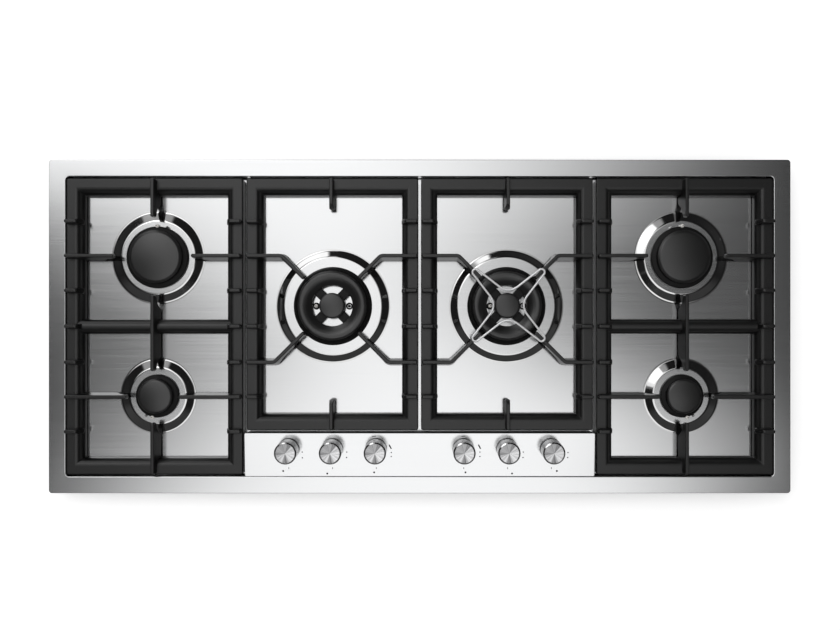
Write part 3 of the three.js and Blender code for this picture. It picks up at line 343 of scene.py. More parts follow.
def cast_group():
    """The skin of cast and enamelled metal: fine pimples over a soft orange peel, with both
    driving bump and the fine one the roughness."""
    inputs = {"Grain": 900.0, "Strength": 0.3, "Roughness": 0.5, "Spread": 0.15}
    made, given, end = group("Cast skin", inputs, SKIN_OUTPUTS)
    fine = noise(made, given["Vector"], given["Grain"], 2.0)
    broad = noise(made, given["Vector"], 60.0, 2.0)
    height = sums(made, "MULTIPLY_ADD", fine, 0.6, broad)
    return finish_skin(made, given, end, fine, height, 0.0002)


# Painted reflection on a turned face, as dark wedges and a darker side: bearing and half-width in
# degrees, and how much darker.
PAINTED_SHEEN_WEDGES = ((-90, 28, 0.6), (62, 16, 0.5), (184, 26, 0.35), (125, 140, 0.45))


def turning_and_painted_sheen_group():
    """Painted sheen on a turned face, from the angle in turns: three dark wedges and a broad darker
    side are painted reflection and shade, each where the angle's direction lies close to a set one,
    and streaks of noise."""
    made, given, end = group("Turning and painted sheen", {}, {"Roughness": "Float", "Shade": "Float"})
    turns = add(made, "SeparateXYZ", {0: given["Vector"]}).outputs["X"]
    angle = sums(made, "MULTIPLY", turns, 2 * math.pi)
    way = add(made, "CombineXYZ", {"X": sums(made, "COSINE", angle),
                                   "Y": sums(made, "SINE", angle)}).outputs[0]
    # painted shade: each wedge darkens the face's colour where its reflection would be dark
    shade = 1.0
    for degrees, width, depth in PAINTED_SHEEN_WEDGES:
        turn = math.radians(degrees)
        near = add(made, "VectorMath", {0: way, 1: (math.cos(turn), math.sin(turn), 0)},
                   operation="DOT_PRODUCT")
        wedge = add(made, "MapRange", {
            "Value": near.outputs["Value"], "From Min": math.cos(math.radians(width)),
            "From Max": 1.0, "To Min": 1.0, "To Max": 1.0 - depth}, interpolation_type="SMOOTHSTEP")
        shade = sums(made, "MULTIPLY", shade, wedge.outputs[0])
    streaks = noise(made, way, 5.0, 3.0)
    shade = sums(made, "SUBTRACT", sums(made, "MULTIPLY_ADD", streaks, 1.3, shade), 0.84)
    dull = sums(made, "MULTIPLY_ADD", streaks, 0.1, 0.18)
    feed(made, end, {"Roughness": dull, "Shade": shade})
    return made


BRUSHING = brushed_group()
TURNING_AND_PAINTED_SHEEN = turning_and_painted_sheen_group()
CAST_SKIN = cast_group()


def grained(name, low, high, texture, values, metallic, index=1.5):
    """A finish whose roughness, normal and shade, between two colours, come from a group."""
    made, tree, shader = new_material(name)
    place = add(tree, "TexCoord").outputs["Object"]
    grain = add(tree, "Group", {"Vector": place, **values}, node_tree=texture).outputs
    feed(tree, shader, {"Roughness": grain["Roughness"], "Normal": grain["Normal"],
                        "Base Color": blend(tree, grain["Shade"], low, high),
                        "Metallic": metallic, "IOR": index})
    return made


def brushed_metal(name, low, high, strength, roughness, spread, metallic=1.0):
    """Bare metal with brushed lines."""
    values = {"Strength": strength, "Roughness": roughness, "Spread": spread}
    return grained(name, low, high, BRUSHING, values, metallic)


def cast_metal(name, low, high, grain_size, strength, roughness, spread, metallic=0.0, index=1.5):
    """Cast, enamelled, printed or foamed skin with a fine grain."""
    values = {"Grain": grain_size, "Strength": strength, "Roughness": roughness, "Spread": spread}
    return grained(name, low, high, CAST_SKIN, values, metallic, index)


def turned_metal(name, low, high):
    """Metal turned on a lathe: its sheen is drawn out across the turning marks, and three narrow
    wedges and a broad side of it are painted darker, as painted reflection. The texture coordinate
    U is the angle in turns."""
    made, tree, shader = new_material(name)
    place = add(tree, "UVMap", uv_map="turning")
    sheen = add(tree, "Group", {"Vector": place.outputs[0]}, node_tree=TURNING_AND_PAINTED_SHEEN).outputs
    around = add(tree, "Tangent", direction_type="UV_MAP", uv_map="turning")
    feed(tree, shader, {"Base Color": blend(tree, sheen["Shade"], low, high),
                        "Roughness": sheen["Roughness"], "Tangent": around.outputs[0],
                        "Anisotropic": 0.6, "Metallic": 1.0})
    return made


def polished_slope(name, shade):
    """Polished metal whose shading leans by the attribute climb, as by a height in metres."""
    made, tree, shader = new_material(name)
    climb = add(tree, "Attribute", attribute_name="climb").outputs["Fac"]
    lean = add(tree, "Bump", {"Strength": 1.0, "Distance": 1.0, "Height": climb})
    streaks = noise(tree, add(tree, "TexCoord").outputs["Object"], 60.0, 3.0)
    feed(tree, shader, {"Normal": lean.outputs[0], "Roughness": 0.06, "Metallic": 1.0,
                        "Base Color": blend(tree, streaks, shade * 0.92, shade * 1.08)})
    return made


STEEL = brushed_metal("Satin steel", (0.66, 0.665, 0.67), (0.74, 0.745, 0.75), 0.07, 0.1, 0.12)
ZINC = brushed_metal("Zinc sheet", (0.42, 0.43, 0.44), (0.52, 0.53, 0.54), 0.1, 0.42, 0.2)
CHROME = brushed_metal("Bright wire", (0.8, 0.8, 0.81), (0.88, 0.88, 0.89), 0.02, 0.25, 0.1, 0.6)
BRASS = cast_metal("Turned brass", (0.5, 0.37, 0.17), (0.62, 0.48, 0.25), 500, 0.1, 0.3, 0.15, 1.0)
IRON = cast_metal("Enamelled iron", 0.001, 0.003, 1100, 0.12, 0.25, 0.2, index=1.6)
ENAMEL = cast_metal("Matt enamel", 0.003, 0.006, 1500, 0.05, 0.26, 0.14, index=1.7)
BLACK_ALLOY = cast_metal("Black alloy", 0.003, 0.006, 900, 0.1, 0.4, 0.2, index=1.35)
FOAM = cast_metal("Sealing foam", 0.02, 0.035, 400, 0.6, 0.8, 0.15)
CERAMIC = cast_metal("White ceramic", (0.74, 0.72, 0.68), (0.82, 0.8, 0.77), 300, 0.05, 0.15, 0.1)
PIN_METAL = brushed_metal("Pin metal", 0.5, 0.6, 0.05, 0.2, 0.1)
POLISHED_SLOPE = polished_slope("Polished slope", 0.6)
POLISHED = brushed_metal("Polished steel", (0.56, 0.56, 0.565), (0.64, 0.64, 0.645), 0.0, 0.04,
                         0.03)
PANEL_STEEL = brushed_metal("Fine satin steel", (0.66, 0.665, 0.67), (0.74, 0.745, 0.75), 0.03,
                            0.13, 0.06)
# The darker colour is painted reflection and shade, used in the knob face's painted wedges and
# darker side.
KNOB_METAL = turned_metal("Turned knob", (0.1, 0.1, 0.103), (0.76, 0.76, 0.77))
PRINT = cast_metal("Printed mark", 0.015, 0.025, 500, 0.05, 0.5, 0.1)
# Painted shade: a near-black finish for the control panel's walls and underside, standing in for
# the dark gap round it.
PAINTED_SHADE_SKIRT = cast_metal("Painted shade skirt", 0.001, 0.002, 800, 0.1, 0.5, 0.1, index=1.2)

# ---- Pressed top ----

UNDER = FLOOR - SHEET
OPENING = 26.2  # the well's edge, in from the rim's
FLOOR_INSET = 31  # where the floor's flat face begins
NOTCH = (538, 56)  # the oblong hole under the control panel
NOTCH_Y = -197.5
ROUND_SEGMENTS = 192
# Corner radius of the outline at each inset from the rim's edge.
CORNER_AT = ([0, SHEET, OPENING - SHEET, OPENING, FLOOR_INSET], [5, 3.8, 7.2, 6, 0.6])


def rim_rows(profile):
    """Outlines at each inset and height of a profile that runs round the top's edge."""
    return [raised(outline(RIM[0] - 2 * inset, RIM[1] - 2 * inset, np.interp(inset, *CORNER_AT)),
                   height) for inset, height in profile]


def pad(name):
    """A raised round pad: its profile falls from a level top to the floor down a straight slope
    with a soft bend at each end, turns down into the stem's hole and comes back underneath."""
    burner = BURNERS[name]
    outer, inner = burner.foot, burner.crest
    rise = PAD_TOP - FLOOR
    profile = soften(
        [(outer + 2, 0), (outer - 0.9, 0), (inner - 0.3, rise), (19, rise), (17.5, rise - 0.6),
         (17.5, rise - SHEET), (inner - 0.6, rise - SHEET), (outer - SHEET, -SHEET),
         (outer + 2, -SHEET)],
        [0, 1.9, 1.9, 0.6, 0.5, 0, 1, 1, 0], 10)
    return turned(profile, burner.x, burner.y, FLOOR, ROUND_SEGMENTS)


def pressed_top():
    """Rim, lip and well are one profile skinned round the outline; the floor is a flat face with
    a round hole for each pad and an oblong one under the control panel, made twice a sheet
    apart, and walls join the two at the oblong hole."""
    profile = soften(
        [(FLOOR_INSET, UNDER), (OPENING - SHEET, UNDER), (OPENING - SHEET, RIM_TOP - SHEET),
         (SHEET, RIM_TOP - SHEET), (SHEET, 55), (0, 55), (0, RIM_TOP), (OPENING, RIM_TOP),
         (OPENING, FLOOR), (FLOOR_INSET, FLOOR)],
        [0, 5, 2.5, 0.6, 0, 0, 0.9, 1.4, 4, 0])
    notch = outline(*NOTCH, 1, 0, NOTCH_Y)
    holes = [circle(burner.foot + 2, burner.x, burner.y, ROUND_SEGMENTS)
             for burner in BURNERS.values()]
    edge = outline(RIM[0] - 2 * FLOOR_INSET, RIM[1] - 2 * FLOOR_INSET, 0.6)
    parts = [skin(rim_rows(profile)), sheet([edge, *holes, notch], FLOOR),
             sheet([edge, *holes, notch], UNDER),
             skin([raised(notch, FLOOR), raised(notch, UNDER)])]
    made = piece("hob_top_pressed", parts + [pad(name) for name in BURNERS], "hob", STEEL,
                 ["hob_top"])
    polish_slopes(made)


def soft_ramp(x, soft=1.7):
    """Nought below -soft, x itself above soft, and a parabola that joins the two between."""
    return np.where(x > soft, x, np.clip(x + soft, 0, None) ** 2 / (4 * soft))


def polish_slopes(made):
    """Gives the pads' sloping bands a polished finish: faces whose middle lies between the foot
    and the head of a slope, above the floor. The attribute climb rises by a steady amount from
    foot to head, and the finish leans its shading by it, so that the slope mirrors the walls."""
    centres = places(made.data.polygons, "center")
    points = places(made.data.vertices, "co")
    picked = np.zeros(len(centres), bool)
    climb = np.zeros(len(points))
    for burner in BURNERS.values():
        x, y, outer, inner = burner.x, burner.y, burner.foot, burner.crest
        away = np.hypot(centres[:, 0] - x, centres[:, 1] - y)
        picked |= (away > inner - 2.5) & (away < outer + 1.3) & (centres[:, 2] > FLOOR - 0.6)
        radius = np.hypot(points[:, 0] - x, points[:, 1] - y)
        ramp = soft_ramp(outer - 0.6 - radius) - soft_ramp(inner - radius)
        climb += SLOPE_LEAN * ramp / (outer - 0.6 - inner)
    layer = made.data.attributes.new("climb", "FLOAT", "POINT")
    layer.data.foreach_set("value", climb)
    second_finish(made, POLISHED_SLOPE, picked)


# ---- Control panel and its marks ----


def panel_height(points):
    """Height of the panel's sloping face over plan points."""
    return RIM_TOP + (np.asarray(points)[:, 1] - WELL_FRONT) * math.tan(TILT)


PANEL = (544.8, 67.8)
PANEL_Y = -199.7
PANEL_EDGE = 3  # the skinned border round the flat face


def control_panel():
    """A cover with soft edges: outlines step in from the sides onto the sloping face, which is a
    plane with six round holes, and back underneath it."""
    def ring(inset, drop):
        """The cover's outline stepped in, a drop below its face or, with none, at its foot."""
        flat = outline(PANEL[0] - 2 * inset, PANEL[1] - 2 * inset, max(2.2 - inset, 0.3), 0,
                       PANEL_Y)
        height = FLOOR + 0.3 if drop is None else panel_height(flat) - drop
        return raised(flat, height)

    bend = np.radians(np.linspace(0, 90, 7))
    soft = 0.6
    over = [(soft - soft * math.cos(b), soft - soft * math.sin(b)) for b in bend]
    rows = [ring(PANEL_EDGE, SHEET), ring(SHEET, 1.6), ring(SHEET, None), ring(0, None)]
    rows += [ring(inset, drop) for inset, drop in over] + [ring(PANEL_EDGE, 0)]
    holes = [circle(5, burner.tap_x, KNOB_Y, 24) for burner in BURNERS.values()]
    top = outline(PANEL[0] - 2 * PANEL_EDGE, PANEL[1] - 2 * PANEL_EDGE, 0.3, 0, PANEL_Y)
    walls = [skin([raised(hole, panel_height(hole)), raised(hole, panel_height(hole) - SHEET)])
             for hole in holes]
    parts = [skin(rows), sheet([top, *holes], panel_height),
             sheet([top, *holes], lambda points: panel_height(points) - SHEET), *walls]
    made = piece("control_panel_cover", parts, "hob", PANEL_STEEL, ["control_panel"])
    centres = places(made.data.polygons, "center")
    # The walls and underside below the face take the near-black finish as painted shade.
    second_finish(made, PAINTED_SHADE_SKIRT, centres[:, 2] < panel_height(centres) - 1.1)


# Printed marks beside each knob, from its axis: dots as x, y, radius and bars as x, y, length,
# width and turn in degrees.
DOTS = {
    "left_rear": [(-8.2, -34.1, 1.5), (21.7, -4.4, 1.0), (21.8, -13.4, 1.0)],
    "left_front": [(-7.7, -38.1, 1.5), (22.9, -4.4, 1.0), (22.6, -12.9, 1.0)],
    "centre_left": [(-2.8, -36.3, 1.5), (24.0, -5.1, 1.0), (23.8, -11.4, 1.0)],
    "centre_right": [(3.3, -36.3, 1.5), (25.6, -4.4, 1.0), (25.6, -11.4, 1.0)],
    "right_front": [(7.7, -38.1, 1.5), (24.9, -4.4, 1.0), (24.6, -12.9, 1.0)],
    "right_rear": [(9.3, -34.1, 1.5), (26.3, -5.1, 1.0), (26.0, -12.9, 1.0)],
}
BARS = {name: [(0.6, -29.6, 2.8, 1.0, 90)] for name in BURNERS}
BARS["centre_left"] += [(-2.5, 20.4, 6.4, 1.2, 6), (22.3, 3.9, 7.6, 2.0, -62)]
BARS["centre_right"] += [(-0.5, 20.4, 6.4, 1.2, 6), (24.8, 4.1, 7.6, 2.0, -62)]


def printed_marks():
    """Dots and bars a twentieth of a millimetre thick on the sloping face."""
    parts = []
    for name, burner in BURNERS.items():
        axis = np.array([burner.tap_x, KNOB_Y])
        flats = [circle(radius, *(axis + [x, y]), 20) for x, y, radius in DOTS[name]]
        for x, y, length, width, degrees in BARS[name]:
            flat = outline(length, width, width * 0.3, steps=2)
            flats.append(flat @ spin(math.radians(degrees)) + axis + [x, y])
        for flat in flats:
            height = panel_height(flat)
            parts.append(closed_ends([raised(flat, height - 0.1), raised(flat, height + 0.05)]))
    piece("panel_marks", parts, "hob", PRINT)


# ---- Knobs ----


def ring_uv(made, x):
    """Texture coordinates that run round a turned piece's axis, one turn to a unit, with the
    radius as the other, so that its sheen can follow the turning marks."""
    mesh = made.data
    count = len(mesh.loops)
    index = np.empty(count, np.int32)
    mesh.loops.foreach_get("vertex_index", index)
    plan = on_axis(places(mesh.vertices, "co"), x)[index, :2]
    sizes = np.empty(len(mesh.polygons), np.int32)
    mesh.polygons.foreach_get("loop_total", sizes)
    starts = np.concatenate([[0], np.cumsum(sizes)[:-1]])
    middles = np.add.reduceat(plan, starts) / sizes[:, None]
    middle_angle = np.repeat(np.arctan2(middles[:, 1], middles[:, 0]), sizes)
    radius = np.hypot(plan[:, 0], plan[:, 1])
    away = np.arctan2(plan[:, 1], plan[:, 0]) - middle_angle
    away = (away + np.pi) % (2 * np.pi) - np.pi
    angle = middle_angle + np.where(radius < 0.01, 0, away)
    layer = mesh.uv_layers.new(name="turning")
    layer.data.foreach_set("uv", np.column_stack([angle / (2 * np.pi), radius / 20]).ravel())


def knob(name):
    """A turned knob: straight side with a shadow groove near its foot, a shallow bright chamfer
    and a level face just below it, over a bore for the spindle."""
    x = BURNERS[name].tap_x
    profile = soften(
        [(3.3, 26.3), (3.3, 3.5), (15.6, 3.5), (16.4, 4.2), (16.4, 5.6), (17, 6), (17, 34.1),
         (14.9, 35), (14.6, 34.8), (0, 34.85)],
        [0, 0.2, 0.3, 0.2, 0.2, 0.3, 0.25, 0.15, 0.1, 0])
    closed = np.concatenate([[(0, 26.3)], profile])
    made = piece(f"knob_turned_{name}", [tilted(turned(closed, segments=96), x)],
                 f"knob_and_spindle_{name}", KNOB_METAL, [f"knob_{name}"])
    ring_uv(made, x)
    across, upright, height = on_axis(places(made.data.polygons, "center"), x).T
    second_finish(made, POLISHED, (np.hypot(across, upright) > 14.8) & (height > 33.9))


# ---- Burners ----


def slotted(profile, x, y, slots, offset, width, low, inner, outer, segments=96):
    """A profile turned about an axis, with open slots cut down into its crown: at angles inside
    a slot, points of the crown drop to the slot's floor. Each slot's edge has two close angles,
    so that its wall stands upright."""
    profile = np.asarray(profile, float)
    centres = offset + np.arange(slots) * 2 * np.pi / slots
    half = width / (inner + outer)
    edges = (centres[:, None] + [-half - 1e-4, -half, half, half + 1e-4]).ravel()
    base = np.linspace(0, 2 * np.pi, segments, endpoint=False)
    nearest = np.abs((base[:, None] - edges[None] + np.pi) % (2 * np.pi) - np.pi).min(1)
    angle = np.sort(np.concatenate([base[nearest > 0.004], edges]) % (2 * np.pi))
    apart = np.abs((angle[:, None] - centres[None] + np.pi) % (2 * np.pi) - np.pi).min(1)
    inside = apart < half + 5e-5
    radius, height = profile[:, :1], profile[:, 1:2]
    crown = (radius > inner - 0.01) & (radius < outer + 0.01) & (height > low)
    height = np.where(crown & inside[None], low, height)
    rows = np.stack([x + radius * np.cos(angle), y + radius * np.sin(angle),
                     PAD_TOP + height], -1)
    return skin(rows, True, True)


PORTS = {"left_rear": 16, "left_front": 12, "right_front": 12, "right_rear": 16}


def single_head(name):
    """A skirt, a crown with open ports and a stem, as one profile turned about the axis."""
    x, y, head, cap = BURNERS[name][:4]
    crown = cap - 1
    profile = soften(
        [(8, -12), (16, -12), (16, 0.3), (head, 0.3), (head, 5.5), (crown + 1, 7.3), (crown, 8.4),
         (crown, 14.5), (crown - 4, 14.5), (crown - 4, 4.5), (8, 4.5)],
        [0.5, 1, 0, 0.5, 1.6, 1.2, 0.6, 0.4, 0.4, 1, 0.5], closed=True)
    slots = PORTS[name]
    part = slotted(profile, x, y, slots, np.pi / slots, 2.4, 11.1, crown - 4.4, crown + 0.1,
                   128)
    piece(f"burner_head_cast_{name}", [part], f"head_{name}", BLACK_ALLOY,
          [f"burner_head_{name}"])


def flat_cap(radius, spigot, x, y):
    """An enamelled lid: a shallow dome that falls with the square of the radius, a soft edge and
    a spigot that sits inside the crown."""
    share = np.linspace(0.9, 0, 10)
    dome = np.column_stack([radius * share, 21 - 0.07 * radius * share**2])
    profile = soften(
        [(0, 13), (spigot - 0.5, 13), (spigot, 14.8), (radius - 0.4, 14.8), (radius, 15.4),
         (radius, 21 - 0.1 * radius), *dome],
        [0, 0.4, 0.2, 0.3, 0.4, 1.2, 1.2] + [0] * 9)
    return turned(profile, x, y, PAD_TOP, 128)


def single_cap(name):
    """The lid of an outer burner, with a spigot inside its crown."""
    x, y, _, cap = BURNERS[name][:4]
    piece(f"burner_cap_enamel_{name}", [flat_cap(cap, cap - 5.3, x, y)], f"cap_{name}",
          ENAMEL, [f"burner_cap_{name}"])


def ring_cap(name):
    """A ring whose crest lies near its outer edge and rolls down to the opening."""
    x, y = BURNERS[name][:2]
    profile = soften(
        [(32, 13), (34, 14.8), (53.8, 14.8), (54.2, 15.2), (54.2, 18.2), (52.4, 20.4), (49.5, 21),
         (45.5, 20.9), (39.5, 19.3), (34.6, 16.8), (32, 15.2)],
        [0.2, 0.3, 0.2, 0.3, 1.4, 1.6, 2, 3, 3.5, 2.4, 0.6], closed=True)
    piece(f"ring_cap_enamel_{name}", [turned(profile, x, y, PAD_TOP, 160, True)],
          f"cap_{name}", ENAMEL, [f"burner_cap_{name}"])


def centre_cap(name):
    """The small lid in the middle of a dual burner."""
    x, y = BURNERS[name][:2]
    piece(f"centre_cap_enamel_{name}", [flat_cap(20, 14.7, x, y)], f"inner_cap_{name}",
          ENAMEL, [f"centre_cap_{name}"])


def spokes(inner, outer, low, high, x, y):
    """Four diagonal arms with soft edges, each an outline skinned between two heights."""
    parts = []
    for degrees in (45, 135, 225, 315):
        middle = (inner + outer) / 2
        rows = []
        for inset, z in ((0, low), (0, high - 0.8), (0.25, high - 0.25), (0.8, high)):
            flat = outline(outer - inner, 14.5 - 2 * inset, 0.4, middle, 0, 2)
            rows.append(raised(flat @ spin(math.radians(degrees)) + [x, y], PAD_TOP + z))
        parts.append(closed_ends(rows))
    return parts


def dual_head(name):
    """Outer crown and inner crown with open ports, joined by four arms."""
    x, y, head, cap = BURNERS[name][:4]
    ring = soften(
        [(34, 5.3), (head, 5.3), (head, 8.5), (cap - 1, 14.5), (cap - 5, 14.5), (cap - 5, 8.8),
         (38, 8.8), (38, 14.5), (34, 14.5)],
        [0.4, 0.4, 0.8, 0.5, 0.4, 1, 1, 0.4, 0.6], closed=True)
    hub = soften(
        [(6, 5.3), (19, 5.3), (19, 14.5), (15, 14.5), (15, 8.8), (6, 8.8)],
        [0, 0.4, 0.4, 0.4, 0.8, 0], closed=True)
    plug = turned([(0, 5.3), (6.2, 5.3), (6.2, 8.8), (0, 8.8)], x, y, PAD_TOP, 32)
    parts = [slotted(ring, x, y, 20, np.pi / 20, 2.4, 11.1, cap - 5.2, cap + 0.5, 160),
             slotted(hub, x, y, 4, np.pi / 16, 2.4, 11.1, 14.8, 19.1, 96), plug,
             *spokes(17, 36, 5.3, 12, x, y)]
    piece(f"burner_head_cast_{name}", parts, f"head_{name}", BLACK_ALLOY,
          [f"burner_head_{name}"])


# height of each supply tube's run across the tray, and how far behind the panel it crosses
LANES = {"left_rear": (25, 26), "left_front": (32, 38), "centre_left": (18, 14)}
LANES |= {"right_rear": (25, 26), "right_front": (32, 38), "centre_right": (18, 14)}


def supply_tube(name):
    """A tube from the tap's outlet to the burner, round in section, with soft bends."""
    x, y = BURNERS[name][:2]
    tap_x = BURNERS[name].tap_x
    height, setback = LANES[name]
    across = PANEL_REAR + setback
    c, s = math.cos(TILT), math.sin(TILT)
    outlet = (KNOB_Y + 20.3 * c + 36 * s, KNOB_Z + 20.3 * s - 36 * c)
    path = [(tap_x, *outlet), (tap_x, outlet[0] + 7, outlet[1]), (tap_x, across, height)]
    if name in DUAL:
        path += [(x, across, height), (x, y - 14, height)]
    else:
        inwards = -math.copysign(1, x)
        path += [(x + inwards * 45, across, height), (x + inwards * 45, y, height),
                 (x + inwards * 20, y, height)]
    return tube(soften(path, 7, 6), 3, 16)


def dual_base(name):
    """The fixed base: an outer ring with a sloping skirt, a hub on a stem, and arms between."""
    x, y = BURNERS[name][:2]
    ring = soften(
        [(34, 0.3), (61.8, 0.3), (61.8, 1.6), (58.6, 7.6), (57.1, 8.2), (57.1, 5), (34, 5)],
        [0.3, 0.4, 0.8, 1.2, 0.4, 0, 0.4], closed=True)
    stem = soften([(0, -28.2), (16, -28.2), (16, 0.3), (19, 0.3), (19, 5), (0, 5)],
                  [0, 0.8, 0.3, 0.3, 0.6, 0])
    parts = [turned(ring, x, y, PAD_TOP, 160, True), turned(stem, x, y, PAD_TOP, 64),
             *spokes(17, 35, 0.3, 5, x, y), supply_tube(name)]
    piece(f"burner_base_cast_{name}", parts, "hob", BLACK_ALLOY,
          [f"burner_cup_{name}"])


def single_cup(name):
    """The cup that hangs under the pad and takes the supply tube."""
    x, y = BURNERS[name][:2]
    profile = soften([(0, 16.5), (22.5, 16.5), (22.5, 40.5), (17.5, 40.5), (17.5, 21.5), (0, 21.5)],
                     [0, 1.5, 0.5, 0.5, 1, 0])
    piece(f"burner_cup_cast_{name}", [turned(profile, x, y, 0, 64), supply_tube(name)],
          "hob", BLACK_ALLOY, [f"burner_cup_{name}"])


def electrodes(name):
    """A ceramic spark plug with a metal pin and a flame probe, on a strap under the pad; on a dual
    burner each stands in a collar. White ceramic and bare metal are two pieces, and a dual burner's
    black collars a third."""
    x, y, head, *_, spark, probe, _ = BURNERS[name]
    radius = 26 if name in DUAL else head + 0.6
    spots = [(x + radius * math.cos(math.radians(a)), y + radius * math.sin(math.radians(a)))
             for a in (spark, probe)]
    ceramic = soften([(0, -19), (3, -19), (3, 6), (2.4, 7.4), (1, 8), (0, 8)],
                     [0, 0.4, 0.5, 0.6, 0.4, 0])
    pin = soften([(0, 7), (0.8, 7), (0.8, 12), (0, 12.5)], [0, 0, 0.4, 0])
    rod = soften([(0, -19), (2.4, -19), (2.4, 5.5), (1.6, 6.1), (1.5, 10.5), (0, 11.4)],
                 [0, 0.3, 0.4, 0.3, 0.8, 0])
    collar = soften([(3.05, -1.4), (3.8, -1.4), (3.8, 0.1), (5.6, 0.1), (5.6, 1.2), (4.9, 1.5),
                     (3.05, 1.5)], 0.2, 3, closed=True)
    tips = [turned(ceramic, *spots[0], PAD_TOP, 32)]
    metal = [turned(pin, *spots[0], PAD_TOP, 16), turned(rod, *spots[1], PAD_TOP, 32)]
    piece(f"electrode_ceramic_{name}", tips, "hob", CERAMIC, [f"electrodes_{name}"])
    middle = np.mean(spots, 0)
    if name in DUAL:
        section = [(17.5, -3.5), (32, -3.5), (32, -1.5), (17.5, -1.5)]
        strap = [turned(section, x, y, PAD_TOP, 48, True)]
    else:
        along = np.subtract(*spots)
        flat = outline(np.hypot(*along) + 12, 12, 2, steps=3)
        flat = flat @ spin(math.atan2(along[1], along[0])) + middle
        strap = [closed_ends([raised(flat, PAD_TOP - 3.5), raised(flat, PAD_TOP - 1.5)])]
    piece(f"electrode_metal_{name}", metal + strap, "hob", PIN_METAL)
    collars = [turned(collar, *spot, PAD_TOP, 40, True) for spot in spots]
    if name in DUAL:
        piece(f"electrode_collars_{name}", collars, "hob", BLACK_ALLOY)


# ---- Pan supports ----

BAR_LOW = 41  # the bars' underside
BAR_TOP = 62
BAR_WIDTH = 25.4
FIN_TOP = 76.2
FIN_FOOT = 56  # where a fin's underside sinks into its bar
FIN_DEEP = 43  # underside of a finger's deep part
FIN_RISE = 60  # underside where the curve up to the tip ends
TIP_LOW = 64.4
FIN_INSET = 1.4
ROW_PITCH = 53.6
SKEW = 2  # how far each row but the middle one stands off the even pitch


def support_frame(width, depth, x, y):
    """The cast bar: a flat top beside a rounded outer edge, then a curve down to the inner side,
    skinned round a rectangle whose corners mitre."""
    bend = np.radians(np.linspace(0, 90, 9))
    profile = [(0, 0), (0, 19.4), (0.35, 20.5), (1.4, 21), (13, 21)]
    profile += [(14 + 11.4 * math.sin(b), 21 - 13 * (1 - math.cos(b))) for b in bend]
    profile += [(BAR_WIDTH, 0)]
    profile = soften(profile, [0.5, 0.4, 0.5, 0.5] + [0.3] * (len(profile) - 5) + [0.5], 3, True)
    corners = np.interp(profile[:, 0], [0, 3, BAR_WIDTH], [3.2, 1.0, 0.6])
    insets = 2 * np.maximum(profile[:, 0], 0)
    rows = [raised(outline(width - inset, depth - inset, corner, x, y, 5), BAR_LOW + z)
            for inset, corner, z in zip(insets, corners, profile[:, 1])]
    return skin(rows, True, True)


def blade(path, knots_top, knots_bottom, nose=2.4):
    """A drafted fin along a plan path. At each station a section with rounded top edges stands
    across the path, widening downwards by a twelfth; near both ends its width shrinks as a
    circle's half-chord, which rounds them. Top and bottom heights are given along the path."""
    path = np.asarray(path, float)
    steps = np.linalg.norm(np.diff(path, axis=0), axis=1)
    length = np.concatenate([[0], np.cumsum(steps)])
    total = length[-1]
    near = np.array([0, 0.03, 0.12, 0.27, 0.5, 0.75, 1.0]) * nose
    inner = np.arange(nose + 1, total - nose - 0.5, 2.0)
    s = np.unique(np.round(np.concatenate([near, inner, total - near]), 4))
    x, y = np.interp(s, length, path[:, 0]), np.interp(s, length, path[:, 1])
    ahead = np.minimum(s + 0.4, total)
    behind = np.maximum(s - 0.4, 0)
    dx = np.interp(ahead, length, path[:, 0]) - np.interp(behind, length, path[:, 0])
    dy = np.interp(ahead, length, path[:, 1]) - np.interp(behind, length, path[:, 1])
    size = np.hypot(dx, dy)
    across = np.column_stack([-dy / size, dx / size])
    top_knots, bottom_knots = soften(knots_top, 2.2), soften(knots_bottom, 6)
    top = np.interp(s, top_knots[:, 0], top_knots[:, 1])
    bottom = np.interp(s, bottom_knots[:, 0], bottom_knots[:, 1])
    away = np.clip(np.minimum(s, total - s) / nose, 0, 1)
    narrow = np.sqrt(1 - (1 - away) ** 2)
    top = top - 0.9 * (1 - narrow)
    arc = np.radians(np.linspace(0, 90, 5))
    edge = 1.1
    side_in = np.concatenate([[0.8, 0.25, 0], [0], edge * (1 - np.cos(arc[1:]))])
    side_z = np.concatenate([[0, 0.2, 0.8], [-edge], -edge * (1 - np.sin(arc[1:]))])
    from_bottom = np.array([True] * 3 + [False] * 5)
    z = np.where(from_bottom[None], bottom[:, None] + side_z[None], top[:, None] + side_z[None])
    half = (2.7 + (FIN_TOP - z) * 0.087 - side_in[None]) * narrow[:, None]
    right = np.stack([x[:, None] + across[:, :1] * half, y[:, None] + across[:, 1:] * half, z], -1)
    left = np.stack([x[:, None] - across[:, :1] * half, y[:, None] - across[:, 1:] * half, z], -1)
    return closed_ends(np.concatenate([right, left[:, ::-1]], 1))


def straight(start, way, length):
    """Plan points of a straight run."""
    return [start, (start[0] + way[0] * length, start[1] + way[1] * length)]


def level(length):
    """A fin's level top along its length."""
    return [(0, FIN_TOP), (length, FIN_TOP)]


def stub(start, way, length=20.7):
    """A short fin on the bar, whose inner end slopes down into it."""
    length += 1
    return blade(straight(start, way, length + 3),
                 [(0, FIN_TOP), (length - 2.4, FIN_TOP), (length + 1.2, BAR_TOP), (length + 3, 55)],
                 [(0, FIN_FOOT), (length + 3, 54)])


def finger(start, way, length):
    """A fin from the bar towards a burner: deep beside the bar, cut up in a curve to its tip."""
    return blade(straight(start, way, length), level(length),
                 [(0, FIN_FOOT), (17, FIN_FOOT), (18, FIN_DEEP), (length - 23, FIN_DEEP),
                  (length - 14, FIN_RISE), (length, TIP_LOW)])


